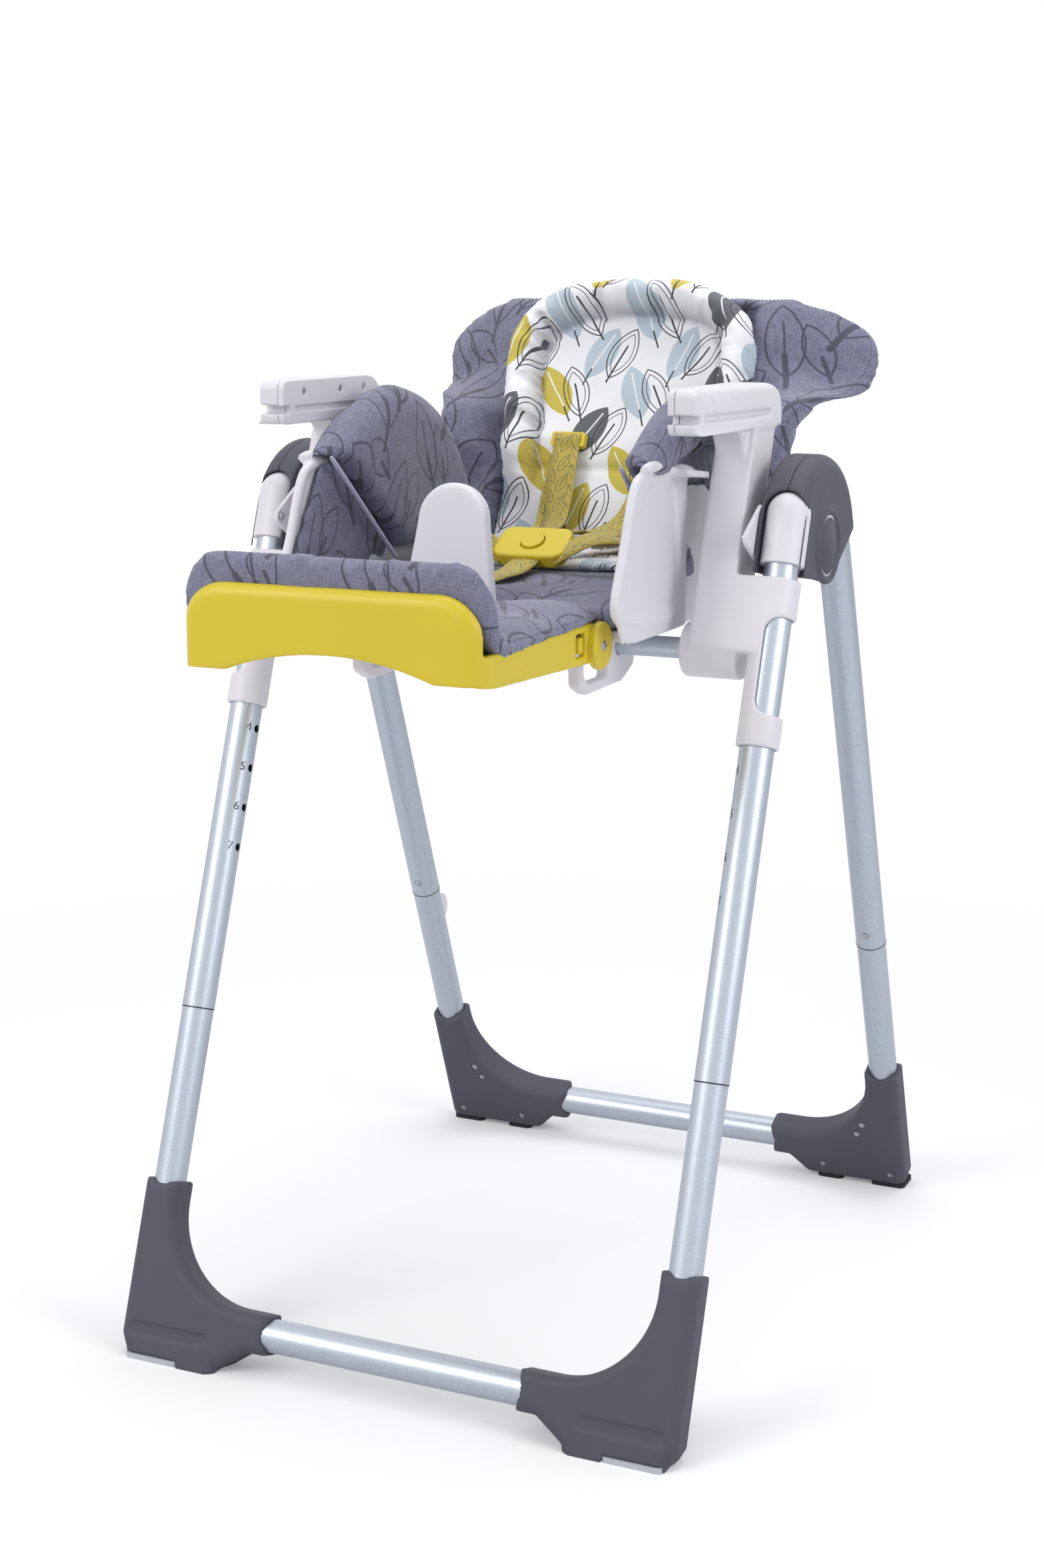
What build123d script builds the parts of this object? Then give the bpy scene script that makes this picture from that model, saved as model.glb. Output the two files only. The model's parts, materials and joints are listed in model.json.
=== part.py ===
"""Folding baby high chair: A-frame of two leg pairs, a seat carriage that slides on the front legs, reclining
back, hinged calf rest.  Millimetres, +Z up, +Y to the rear, chair facing -Y.  Origin on the floor, mid-depth."""
from build123d import *
from math import sin, cos, tan, radians
import os

os.makedirs("parts", exist_ok=True)

# ---------------------------------------------------------------- driving dimensions
LEG_X = 270.0            # half distance between leg centre lines
HUB_Y = 24.0             # fold axis
HUB_Z = 775.0
FRONT_LEAN = 20.16       # degrees from vertical
REAR_LEAN = 21.4
FRONT_OFFSET = 65.6      # fold axis to front leg axis
REAR_OFFSET = 73.9       # fold axis to rear leg axis
TUBE_R = 16.0            # upper leg tubes and cross tubes
TUBE_WALL = 1.5
LOWER_TUBE_R = 15.5
SPIGOT_GAP = 0.1         # swaged end inside the upper tube
SPIGOT_LENGTH = 60.0
FRONT_JOINT_Z = 316.0    # height of the step between upper and lower tube
REAR_JOINT_Z = 320.0
PIN_HEIGHT = 18.0        # sprung pin above the rear joint
PIN_R = 3.6
PIN_PROUD = 1.2          # pin tip beyond the tube
FIT_GAP = 0.1            # fixed fits
RUN_GAP = 0.05           # turning fits
CLEAR = 0.5              # between neighbours that don't touch

FOOT_TOP = 167.0         # along the leg, from the floor
FOOT_WALL = 3.0
FOOT_HEEL = 8.0          # cut corner outside the sole
FOOT_INNER_X = 131.0     # where the cross tube comes out
FOOT_SOLE_X = 180.0      # inner end of the sole
FOOT_CURVE_R = 88.0
FOOT_ROUND = 10.0
FRONT_CROSS_Z = 37.0
REAR_CROSS_Z = 45.0
PAD_HEIGHT = 5.0
GLIDE_LENGTH = 56.0
FOOT_SCREW_R = 3.2

HUB_WALL = 2.2
HUB_IN_X = 248.0         # inner face of the hub casing
HUB_OUT_X = 290.0
HUB_RISE = 85.0          # top of the casing above the fold axis
HUB_TOP_ROUND = 92.0
HUB_LOW_ROUND = 14.0
HUB_EDGE_ROUND = 15.0
HUB_FRONT_REACH = 21.5   # casing in front of the front leg's axis
HUB_REAR_REACH = 19.0    # casing behind the rear leg's axis
HUB_FRONT_DROP = 49.0    # lower front corner, along the front leg
HUB_REAR_DROP = 20.0     # lower rear corner, along the rear leg
HUB_LOW_Y = 34.0         # lowest point of the casing
HUB_LOW_Z = 737.0
SOCKET_R = 20.5          # white liner around the front leg's top
SOCKET_DROP = 37.0       # liner mouth below the leg's nearest point to the fold axis
SOCKET_RISE = 12.0       # straight part above it
PIVOT_R = 6.0
BUTTON_R = 26.0
BEZEL_WIDTH = 3.5
KNUCKLE_R = 20.0
KNUCKLE_ARM = 18.0       # height of the arm along the leg
KNUCKLE_HALF = 12.0      # inner side of the knuckle along X, from the leg's centre
KNUCKLE_OUT = 9.0        # outer side

SLEEVE_R = 20.0
SLEEVE_GAP = 0.4
SLEEVE_TOP = -51.0       # along the front leg, from its nearest point to the fold axis
SLEEVE_BOTTOM = -208.0
WINDOW_TOP = -88.0
WINDOW_BOTTOM = -178.0
HOLE_PITCH = 40.0
HOLE_COUNT = 7
HOLE_R = 4.0

COLUMN_IN_X = 195.0      # inner face of armrest and column
COLUMN_OUT_X = 234.0
COLUMN_DEPTH = 64.0      # square to the leg, from the sleeve's front
COLUMN_ROUND = 14.0
GUSSET_R = 24.0          # hollow under the armrest where it meets the column
ARMREST_OUT_X = 235.0
ARMREST_FRONT_Y = -152.0
ARMREST_REAR_Y = 46.0
ARMREST_TOP_Z = 926.0
ARMREST_HEIGHT = 41.0
COVER_THICKNESS = 6.0
TRAY_SLOT_Z = 899.0      # middle of the tray slot
TRAY_SLOT_HEIGHT = 8.0
TRAY_SLOT_DEPTH = 5.0
TRAY_NOTCH = 13.0
BARREL_Y = -70.0
BARREL_Z = 684.0
BARREL_R = 26.0
BARREL_IN_X = 186.0
BARREL_OUT_X = 242.0
SEAT_TUBE_R = 10.0

SEAT_HALF = 172.0        # outer faces of the front wings
SEAT_WALL = 4.0
PAD_GAP = 0.5            # between a pad and what carries it
CHEEK_STEP = 8.0         # the rear cheeks stand in from the wings
CHEEK_HALF = SEAT_HALF - CHEEK_STEP
PAN_BOTTOM_Z = 700.0
PAN_THICKNESS = 10.0
SEAT_PAD_TOP_Z = 738.0
WING_PAD_THICKNESS = 15.0
POST_FOOT_HALF = 50.0
POST_TOP_HALF = 34.0
POST_FOOT_Y = -206.5     # front face at the pan's underside
POST_DEPTH = 19.0
POST_HEIGHT = 142.0      # above the pan's underside, along the post
POST_LEAN = 8.0          # the post leans back

BACK_Y = 135.0           # recline axis
BACK_Z = 715.0
BACK_RECLINE = 25.0      # from vertical, as stored
BACK_SHELL_N = -52.0     # rear face of the shell, from the recline axis
HINGE_ARM = 13.0         # thickness of the backrest's hinge arms
HINGE_ARM_GAP = 1.0      # to the cheeks
BACK_SHELL_HALF = CHEEK_HALF - SEAT_WALL - HINGE_ARM_GAP - HINGE_ARM
BACK_PIN_R = 6.0

REST_Y = -185.0          # calf rest axis
REST_Z = 700.0
REST_HALF = 143.0        # outer faces of the arms
REST_WALL = 7.0
REST_FRONT_Y = -425.5
REST_FLOOR_Z = 716.0
REST_FLOOR_THICKNESS = 4.0
REST_PLATE_TOP_Z = 771.0
REST_PLATE_THICKNESS = 11.0
REST_CAP_R = 21.5
REST_PIN_R = 5.0
REST_CORNER = 42.0       # round upper corners of the front plate
REST_BEND = 18.0         # round upright corners between plate and arms
CALF_PAD_SIDE = 5.0      # the calf pad stands out past the arms
CALF_PAD_HALF = REST_HALF + CALF_PAD_SIDE
CALF_PAD_TOP_Z = 735.0
CALF_PAD_LIP_Z = 802.0
CALF_LIP_THICKNESS = 20.0
STRAP_WIDTH = 30.0
STRAP_THICKNESS = 2.0

# ---------------------------------------------------------------- frames and helpers
F_SIN = sin(radians(FRONT_LEAN))
F_COS = cos(radians(FRONT_LEAN))
R_SIN = sin(radians(REAR_LEAN))
R_COS = cos(radians(REAR_LEAN))
FRONT_NEAR_Y = HUB_Y - FRONT_OFFSET * F_COS      # front leg's nearest point to the fold axis
FRONT_NEAR_Z = HUB_Z + FRONT_OFFSET * F_SIN
REAR_NEAR_Y = HUB_Y + REAR_OFFSET * R_COS
REAR_NEAR_Z = HUB_Z + REAR_OFFSET * R_SIN
FRONT_FLOOR_Y = FRONT_NEAR_Y - FRONT_NEAR_Z * tan(radians(FRONT_LEAN))
REAR_FLOOR_Y = REAR_NEAR_Y + REAR_NEAR_Z * tan(radians(REAR_LEAN))
HUB_TOP_Z = HUB_Z + HUB_RISE

front_leg = Plane(origin=(LEG_X, FRONT_NEAR_Y, FRONT_NEAR_Z), x_dir=(1, 0, 0), z_dir=(0, F_SIN, F_COS))
rear_leg = Plane(origin=(LEG_X, REAR_NEAR_Y, REAR_NEAR_Z), x_dir=(1, 0, 0), z_dir=(0, -R_SIN, R_COS))
front_foot = Plane(origin=(0, FRONT_FLOOR_Y, 0), x_dir=(1, 0, 0), z_dir=(0, -F_COS, F_SIN))
rear_foot = Plane(origin=(0, REAR_FLOOR_Y, 0), x_dir=(1, 0, 0), z_dir=(0, -R_COS, -R_SIN))
B_SIN = sin(radians(BACK_RECLINE))
B_COS = cos(radians(BACK_RECLINE))
back = Plane(origin=(0, BACK_Y, BACK_Z), x_dir=(1, 0, 0), z_dir=(0, -B_COS, B_SIN))


def rod(radius, z0, z1, x=0.0, y=0.0):
    """Cylinder along local Z between two heights."""
    return Pos(x, y, (z0 + z1) / 2) * Cylinder(radius, z1 - z0)


def rod_x(radius, x0, x1, y, z):
    """Cylinder along X."""
    return Pos((x0 + x1) / 2, y, z) * Rot(0, 90, 0) * Cylinder(radius, abs(x1 - x0))


def block(x0, x1, y0, y1, z0, z1):
    """Box between two corners."""
    return Pos((x0 + x1) / 2, (y0 + y1) / 2, (z0 + z1) / 2) * Box(abs(x1 - x0), abs(y1 - y0), abs(z1 - z0))


def side_plate(points, x0, x1, radius=0.0):
    """Outline in the YZ plane, given thickness along X, with its corners rounded."""
    outline = Plane.YZ.offset(x0) * make_face(Polyline(*points, close=True))
    if radius:
        outline = fillet(outline.vertices(), radius)
    return extrude(outline, amount=x1 - x0)


def mirrored(shape):
    return mirror(shape, about=Plane.YZ)


def pair(shape):
    """The right-hand piece and its mirror image, as separate solids in one node."""
    return Compound(children=[Part() + shape, Part() + mirrored(shape)])


def save(name, shape):
    solids = shape.solids()
    export_step(solids[0] if len(solids) == 1 else Compound(solids), f"parts/{name}.step")


def save_sides(name, right):
    save(f"{name}_right", right)
    save(f"{name}_left", mirrored(right))


# ---------------------------------------------------------------- legs
def leg_at(near_z, lean_cos, z):
    """Distance along a leg, from its nearest point to the fold axis, at height z."""
    return (z - near_z) / lean_cos


FRONT_JOINT = leg_at(FRONT_NEAR_Z, F_COS, FRONT_JOINT_Z)
REAR_JOINT = leg_at(REAR_NEAR_Z, R_COS, REAR_JOINT_Z)
FRONT_END = leg_at(FRONT_NEAR_Z, F_COS, FRONT_CROSS_Z)
REAR_END = leg_at(REAR_NEAR_Z, R_COS, REAR_CROSS_Z)
REAR_TUBE_TOP = -8.0
FIRST_HOLE = SLEEVE_TOP - 60.0


def upper_tube(joint, top):
    return rod(TUBE_R, joint, top) - rod(TUBE_R - TUBE_WALL, joint - 1, top + 1)


def lower_tube(end, joint):
    """Lower tube with a reduced end that pushes into the upper tube."""
    spigot_r = TUBE_R - TUBE_WALL - SPIGOT_GAP
    outside = rod(LOWER_TUBE_R, end, joint) + rod(spigot_r, joint - 2, joint + SPIGOT_LENGTH)
    return outside - rod(spigot_r - TUBE_WALL, end - 1, joint + SPIGOT_LENGTH + 1)


def pin_hole(joint):
    """Hole for the sprung pin that locks upper and lower tube, facing the front."""
    return Pos(0, 0, joint + PIN_HEIGHT) * Rot(90, 0, 0) * rod(PIN_R + 0.4, 0, 40)


front_upper = upper_tube(FRONT_JOINT, 0)
for i in range(HOLE_COUNT):
    hole = Rot(0, -90, 0) * rod(HOLE_R, 0, 40)
    front_upper -= Pos(0, 0, FIRST_HOLE - i * HOLE_PITCH) * hole
save_sides("front_leg_upper", front_leg * front_upper)
save_sides("front_leg_lower", front_leg * lower_tube(FRONT_END, FRONT_JOINT))

save_sides("rear_leg_upper", rear_leg * (upper_tube(REAR_JOINT, REAR_TUBE_TOP) - pin_hole(REAR_JOINT)))
save_sides("rear_leg_lower", rear_leg * (lower_tube(REAR_END, REAR_JOINT) - pin_hole(REAR_JOINT)))

pin = Pos(0, 0, REAR_JOINT + PIN_HEIGHT) * Rot(90, 0, 0) * rod(PIN_R, TUBE_R / 2, TUBE_R + PIN_PROUD)
pin = fillet(pin.edges().group_by(Axis.Y)[0], 1.0)
save_sides("rear_snap_pin", rear_leg * pin)

# cross tubes lie in the plane of their legs
front_cross_y = FRONT_FLOOR_Y + FRONT_CROSS_Z * tan(radians(FRONT_LEAN))
rear_cross_y = REAR_FLOOR_Y - REAR_CROSS_Z * tan(radians(REAR_LEAN))
CROSS_HALF = LEG_X - LOWER_TUBE_R - 4.0
for side, y, z in (("front", front_cross_y, FRONT_CROSS_Z), ("rear", rear_cross_y, REAR_CROSS_Z)):
    tube = rod_x(TUBE_R, -CROSS_HALF, CROSS_HALF, y, z)
    tube -= rod_x(TUBE_R - TUBE_WALL, -CROSS_HALF - 1, CROSS_HALF + 1, y, z)
    save(f"{side}_cross_tube", tube)

# ---------------------------------------------------------------- feet
FOOT_HALF = TUBE_R + FOOT_WALL
FOOT_OUT_X = LEG_X + FOOT_HALF


def foot_outline(cross_t):
    """Corner boot seen square to the leg: up the leg, along the cross tube, and a flat sole."""
    top_in = LEG_X - FOOT_HALF
    cross_top = cross_t + FOOT_HALF
    cross_low = cross_t - FOOT_HALF
    curve_x = top_in - FOOT_CURVE_R
    curve_y = cross_top + FOOT_CURVE_R
    low = -40.0
    lines = [
        Line((FOOT_OUT_X - FOOT_HEEL, low), (FOOT_OUT_X - FOOT_HEEL, 0)),
        Line((FOOT_OUT_X - FOOT_HEEL, 0), (FOOT_OUT_X, 2 * FOOT_HEEL)),
        Line((FOOT_OUT_X, 2 * FOOT_HEEL), (FOOT_OUT_X, FOOT_TOP)),
        Line((FOOT_OUT_X, FOOT_TOP), (top_in, FOOT_TOP)),
        Line((top_in, FOOT_TOP), (top_in, curve_y)),
        RadiusArc((top_in, curve_y), (curve_x, cross_top), FOOT_CURVE_R),
        Line((curve_x, cross_top), (FOOT_INNER_X, cross_top)),
        Line((FOOT_INNER_X, cross_top), (FOOT_INNER_X, cross_low)),
        Line((FOOT_INNER_X, cross_low), (FOOT_INNER_X + 20, cross_low)),
        Line((FOOT_INNER_X + 20, cross_low), (FOOT_SOLE_X, 0)),
        Line((FOOT_SOLE_X, 0), (FOOT_SOLE_X, low)),
        Line((FOOT_SOLE_X, low), (FOOT_OUT_X - FOOT_HEEL, low)),
    ]
    return make_face(lines)


def boot(plane, leg_plane, cross_y, cross_z, cross_t, end, sole_z):
    """Boot with both tubes' sockets, its sole cut flat at sole_z."""
    body = extrude(foot_outline(cross_t), amount=FOOT_HALF, both=True)
    faces = body.faces().sort_by(Axis.Z)
    body = fillet(faces[0].edges() + faces[-1].edges(), FOOT_ROUND)
    body = plane * body
    body -= block(0, 2 * FOOT_OUT_X, cross_y - 200, cross_y + 200, -100, sole_z)
    body -= leg_plane * rod(LOWER_TUBE_R + FIT_GAP, end - 1, end + 2 * FOOT_TOP)
    body -= rod_x(TUBE_R + FIT_GAP, 0, CROSS_HALF + 1, cross_y, cross_z)
    return body


def foot_screws(radius, deep, high, cross_t):
    """Screws or their holes, clear of both tubes."""
    places = [(LEG_X - FOOT_HALF - 14, cross_t + FOOT_HALF + 12), (FOOT_SOLE_X + 12, cross_t - TUBE_R - 6),
              (LEG_X - 26, cross_t + FOOT_HALF + 26), (LEG_X + 2, cross_t - TUBE_R - 8)]
    return [Pos(x, y, 0) * rod(radius, deep, high) for x, y in places]


# front feet: smooth outside with a long recess, screws on the hidden rear face
FRONT_CROSS_T = FRONT_CROSS_Z / F_COS
REAR_CROSS_T = REAR_CROSS_Z / R_COS
front_boot = boot(front_foot, front_leg, front_cross_y, FRONT_CROSS_Z, FRONT_CROSS_T, FRONT_END, 0.0)
recess = make_face(Polyline((FOOT_SOLE_X + 8, 30), (FOOT_SOLE_X + 18, 16), (LEG_X + 8, 16), (LEG_X + 8, 30),
                            close=True))
recess = fillet(recess.vertices(), 5)
front_boot -= front_foot * (Pos(0, 0, FOOT_HALF - 1.5) * extrude(recess, amount=10))
GLIDE_X0 = LEG_X + 8 - GLIDE_LENGTH
glide_y = FRONT_FLOOR_Y
GLIDE_HALF = 27.0
glide_room = block(GLIDE_X0 - FIT_GAP, GLIDE_X0 + GLIDE_LENGTH + FIT_GAP, glide_y - GLIDE_HALF,
                   glide_y + GLIDE_HALF, -1, PAD_HEIGHT + FIT_GAP)
front_boot -= glide_room
glide = block(GLIDE_X0, GLIDE_X0 + GLIDE_LENGTH, glide_y - FOOT_HALF, glide_y + FOOT_HALF + 2, 0, PAD_HEIGHT)
glide = fillet(glide.edges().filter_by(Axis.Z), 3)
for cut in foot_screws(FOOT_SCREW_R + FIT_GAP, -FOOT_HALF - 1, -FOOT_HALF + 9, FRONT_CROSS_T):
    front_boot -= front_foot * cut
save_sides("front_foot", front_boot)
save("front_foot_glides", pair(glide))

# rear feet: screws on the face that looks forward, two rubber pads under each
rear_boot = boot(rear_foot, rear_leg, rear_cross_y, REAR_CROSS_Z, REAR_CROSS_T, REAR_END, PAD_HEIGHT)
for cut in foot_screws(FOOT_SCREW_R + FIT_GAP, FOOT_HALF - 9, FOOT_HALF + 1, REAR_CROSS_T):
    rear_boot -= rear_foot * cut
save_sides("rear_foot", rear_boot)
pads = []
for x0, x1 in ((FOOT_SOLE_X + 4, FOOT_SOLE_X + 34), (LEG_X - 22, LEG_X + 17)):
    pad = block(x0, x1, REAR_FLOOR_Y - 20, REAR_FLOOR_Y + 18, 0, PAD_HEIGHT)
    pad = fillet(pad.edges().filter_by(Axis.Z), 6)
    pads += [pad, mirrored(pad)]
save("rear_foot_pads", Compound(children=[Part() + p for p in pads]))


def screw_set(plane, low, high, cross_t):
    right = [plane * s for s in foot_screws(FOOT_SCREW_R, low, high, cross_t)]
    return Compound(children=[Part() + s for s in right + [mirrored(s) for s in right]])


save("front_foot_screws", screw_set(front_foot, -FOOT_HALF + 1.5, -FOOT_HALF + 8, FRONT_CROSS_T))
save("rear_foot_screws", screw_set(rear_foot, FOOT_HALF - 8, FOOT_HALF - 1.5, REAR_CROSS_T))

# ---------------------------------------------------------------- hub: casing halves, socket liner, pivot
def along(origin, direction, distance):
    return (origin[0] + direction[0] * distance, origin[1] + direction[1] * distance)


def level_at(point, direction, z):
    """Where the line through a point reaches height z."""
    return along(point, direction, (z - point[1]) / direction[1])


HUB = (HUB_Y, HUB_Z)
F_UP, F_BACK = (F_SIN, F_COS), (F_COS, -F_SIN)       # along and square to the front leg, in YZ
R_UP, R_BACK = (-R_SIN, R_COS), (R_COS, R_SIN)
front_side = along(HUB, F_BACK, -FRONT_OFFSET - HUB_FRONT_REACH)
rear_side = along(HUB, R_BACK, REAR_OFFSET + HUB_REAR_REACH)


def hub_solid():
    """Casing block: sides along the two legs, an arched top and a blunt V below."""
    outline = make_face(Polyline((HUB_LOW_Y, HUB_LOW_Z), along(front_side, F_UP, -HUB_FRONT_DROP),
                                 level_at(front_side, F_UP, HUB_TOP_Z), level_at(rear_side, R_UP, HUB_TOP_Z),
                                 along(rear_side, R_UP, -HUB_REAR_DROP), close=True))
    outline = fillet(outline.vertices().filter_by(lambda v: v.Y > HUB_TOP_Z - 1), HUB_TOP_ROUND)
    low_rear = [v for v in outline.vertices() if v.Y < HUB_LOW_Z + 1 or v.X > HUB_Y + 80 and v.Y < HUB_Z + 15]
    outline = fillet(ShapeList(low_rear), HUB_LOW_ROUND)
    body = extrude(Plane.YZ.offset(HUB_IN_X) * outline, amount=HUB_OUT_X - HUB_IN_X)
    outer_face = body.faces().sort_by(Axis.X)[-1]
    body = fillet(outer_face.edges().filter_by(lambda e: e.center().Z > HUB_Z), HUB_EDGE_ROUND)
    inner_face = body.faces().sort_by(Axis.X)[0]
    return fillet(inner_face.edges().filter_by(lambda e: e.center().Z > HUB_Z), 5)


def hub_cavity():
    """Room for the rear leg and its knuckle through the whole fold, open below."""
    wall = HUB_WALL
    front_wall = along(HUB, F_BACK, -FRONT_OFFSET + SOCKET_R + wall)
    rear_wall = along(rear_side, R_BACK, -wall)
    top = HUB_TOP_Z - wall
    room = make_face(Polyline(along(front_wall, F_UP, -2 * HUB_FRONT_DROP), level_at(front_wall, F_UP, top),
                              level_at(rear_wall, R_UP, top), along(rear_wall, R_UP, -2 * HUB_FRONT_DROP),
                              close=True))
    top_front, top_rear = room.vertices().filter_by(lambda v: v.Y > top - 1).sort_by(Axis.X)
    room = fillet(ShapeList([top_rear]), HUB_TOP_ROUND - wall)
    room = fillet(room.vertices().filter_by(lambda v: v.Y > top - 1).sort_by(Axis.X)[0], 25)
    body = extrude(Plane.YZ.offset(HUB_IN_X + wall) * room, amount=HUB_OUT_X - HUB_IN_X - 2 * wall)
    outer_face = body.faces().sort_by(Axis.X)[-1]
    return fillet(outer_face.edges().filter_by(lambda e: e.center().Z > HUB_LOW_Z - 40), HUB_EDGE_ROUND - wall)


def dome_top(radius, low, high):
    """Round bar with a hemispherical upper end."""
    return rod(radius, low, high) + (Pos(0, 0, high) * Sphere(radius) & rod(radius + 1, high, high + 2 * radius))


casing = hub_solid() - hub_cavity()
casing += rod_x(BUTTON_R + 6, HUB_OUT_X - 10.5, HUB_OUT_X, HUB_Y, HUB_Z)
casing -= rod_x(BUTTON_R + 0.4, HUB_OUT_X - 8, HUB_OUT_X + 1, HUB_Y, HUB_Z)
casing -= rod_x(BUTTON_R + 0.4 + BEZEL_WIDTH, HUB_OUT_X - 1, HUB_OUT_X + 1, HUB_Y, HUB_Z)
casing -= rod_x(PIVOT_R + FIT_GAP, 0, HUB_OUT_X + 1, HUB_Y, HUB_Z)
casing -= front_leg * dome_top(SOCKET_R + FIT_GAP, -3 * SOCKET_DROP, SOCKET_RISE)
window_half = SOCKET_R - 1.0
window_shape = Rot(90, 0, 0) * Cylinder(window_half, 2 * SOCKET_R) + Pos(0, 0, -100) * Box(2 * window_half,
                                                                                       2 * SOCKET_R, 200)
casing -= front_leg * (Pos(0, -SOCKET_R, SOCKET_RISE) * window_shape)
half_space = block(LEG_X, 2 * LEG_X, -500, 500, 0, 1200)
outer = casing & half_space
inner = casing - half_space
save_sides("hub_outer_shell", outer)
save_sides("hub_inner_shell", inner)

liner = dome_top(SOCKET_R, -SOCKET_DROP, SOCKET_RISE) - rod(TUBE_R + FIT_GAP, -SOCKET_DROP - 1, FIT_GAP)
save("hub_leg_sockets", pair(front_leg * liner))

pivot = rod_x(PIVOT_R, HUB_IN_X, HUB_OUT_X - 8.5, HUB_Y, HUB_Z)
save("hub_pivot_pins", pair(pivot))

# sprung button with a slightly domed face
BUTTON_DOME_R = 110.0
button = rod(BUTTON_R, -4.5, 8) & Pos(0, 0, 4 - BUTTON_DOME_R) * Sphere(BUTTON_DOME_R)
save_sides("hub_button", Pos(HUB_OUT_X, HUB_Y, HUB_Z) * Rot(0, 90, 0) * button)

bezel = rod_x(BUTTON_R + 0.3 + BEZEL_WIDTH, HUB_OUT_X - 1, HUB_OUT_X + 0.8, HUB_Y, HUB_Z)
bezel -= rod_x(BUTTON_R + 0.5, HUB_OUT_X - 2, HUB_OUT_X + 2, HUB_Y, HUB_Z)
save("hub_bezels", pair(bezel))

# triangular brace riveted to the hub's inner face, in front of the leg
PLATE_THICKNESS = 4.0
RIVET_R = 4.5
RIVET_HEAD = 2.0
brace_points = [along(HUB, step, 1) for step in ((-60, 47), (-116, 15), (-56, -23))]
brace = side_plate(brace_points, HUB_IN_X - PLATE_THICKNESS, HUB_IN_X - FIT_GAP, 7)
rivets = [rod_x(RIVET_R, HUB_IN_X - PLATE_THICKNESS - RIVET_HEAD, HUB_IN_X - PLATE_THICKNESS, HUB_Y + y, HUB_Z + z)
          for y, z in ((-68, 33), (-102, 15))]
save("hub_brace_plates", pair(brace))
save("hub_rivets", Compound(children=[Part() + s for s in rivets + [mirrored(s) for s in rivets]]))

# rear knuckle: plug in the rear tube, arm, and eye on the pivot pin
plug_r = TUBE_R - TUBE_WALL - FIT_GAP
eye = rod_x(KNUCKLE_R, LEG_X - KNUCKLE_HALF, LEG_X + KNUCKLE_OUT, HUB_Y, HUB_Z)
arm = rear_leg * block(-KNUCKLE_HALF, KNUCKLE_OUT, -REAR_OFFSET, 0, REAR_TUBE_TOP + 0.5,
                       REAR_TUBE_TOP + 0.5 + KNUCKLE_ARM)
plug = rear_leg * rod(plug_r, REAR_TUBE_TOP - 45, REAR_TUBE_TOP + 0.5 + KNUCKLE_ARM)
knuckle = eye + arm + plug
knuckle -= rod_x(PIVOT_R + RUN_GAP, 0, HUB_OUT_X, HUB_Y, HUB_Z)
save_sides("rear_knuckle", knuckle)

# hooks behind the rear legs that hold the tray when it is stowed
HOOK_Z = 286.0
hook_at = leg_at(REAR_NEAR_Z, R_COS, HOOK_Z)
hook = Rot(0, 90, 0) * Cylinder(17, 12) & block(-20, 20, 0, 30, -20, 20)
hook = Pos(0, LOWER_TUBE_R - 1.0, hook_at) * hook
hook -= Pos(0, 0, hook_at) * Cylinder(LOWER_TUBE_R + FIT_GAP, 60)
save("tray_hooks", pair(rear_leg * hook))

# ---------------------------------------------------------------- carriage: side frames
ARMREST_LOW_Z = ARMREST_TOP_Z - ARMREST_HEIGHT
WEB_HEIGHT = 72.0
COLUMN_TOP = (ARMREST_LOW_Z + 14 - FRONT_NEAR_Z) / F_COS
COLUMN_BOTTOM = SLEEVE_TOP - WEB_HEIGHT
sleeve = rod(SLEEVE_R, SLEEVE_BOTTOM, SLEEVE_TOP)
web = block(COLUMN_IN_X + 20 - LEG_X, 0, -SLEEVE_R, 2, SLEEVE_TOP - WEB_HEIGHT, SLEEVE_TOP)
window = block(-2, 40, -40, 40, WINDOW_BOTTOM, WINDOW_TOP)
window = fillet(window.edges().filter_by(Axis.Y).group_by(Axis.X)[0], 14)
column = block(COLUMN_IN_X - LEG_X, COLUMN_OUT_X - LEG_X, -SLEEVE_R, COLUMN_DEPTH - SLEEVE_R, COLUMN_BOTTOM,
               COLUMN_TOP)
column = fillet(column.edges().filter_by(Axis.Z).group_by(Axis.X)[0], 5)
outer_edges = column.edges().filter_by(Axis.Z).group_by(Axis.X)[-1]
column = fillet(outer_edges.sort_by(Axis.Y)[-1], COLUMN_ROUND)
upper_column = column & block(-400, 400, -400, 400, SLEEVE_TOP, COLUMN_TOP)
front_edge = upper_column.edges().filter_by(Axis.Z).filter_by(
    lambda e: e.center().X > COLUMN_OUT_X - LEG_X - 1).sort_by(Axis.Y)[0]
column += fillet(front_edge, COLUMN_ROUND) - block(-400, 400, -400, 400, -400, SLEEVE_TOP)
sleeve_and_column = front_leg * (sleeve + web + column - window)
sleeve_and_column -= block(0, 400, -400, 400, ARMREST_LOW_Z + 12, 1000)
gusset_y = FRONT_FLOOR_Y + (ARMREST_LOW_Z - GUSSET_R) * tan(radians(FRONT_LEAN)) - (SLEEVE_R + GUSSET_R) / F_COS
gusset = block(COLUMN_IN_X + 2, COLUMN_OUT_X - COLUMN_ROUND / 2, gusset_y, gusset_y + 2 * GUSSET_R,
               ARMREST_LOW_Z - (1 + F_SIN) * GUSSET_R, ARMREST_LOW_Z + 2)
gusset -= rod_x(GUSSET_R, 0, LEG_X, gusset_y, ARMREST_LOW_Z - GUSSET_R)
barrel = rod_x(BARREL_R, BARREL_IN_X, BARREL_OUT_X, BARREL_Y, BARREL_Z)
barrel = fillet(barrel.edges().sort_by(Axis.X)[0], 3)

armrest_points = [(ARMREST_FRONT_Y, ARMREST_LOW_Z), (ARMREST_REAR_Y, ARMREST_LOW_Z),
                  (ARMREST_REAR_Y, ARMREST_TOP_Z), (ARMREST_FRONT_Y, ARMREST_TOP_Z)]


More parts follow.
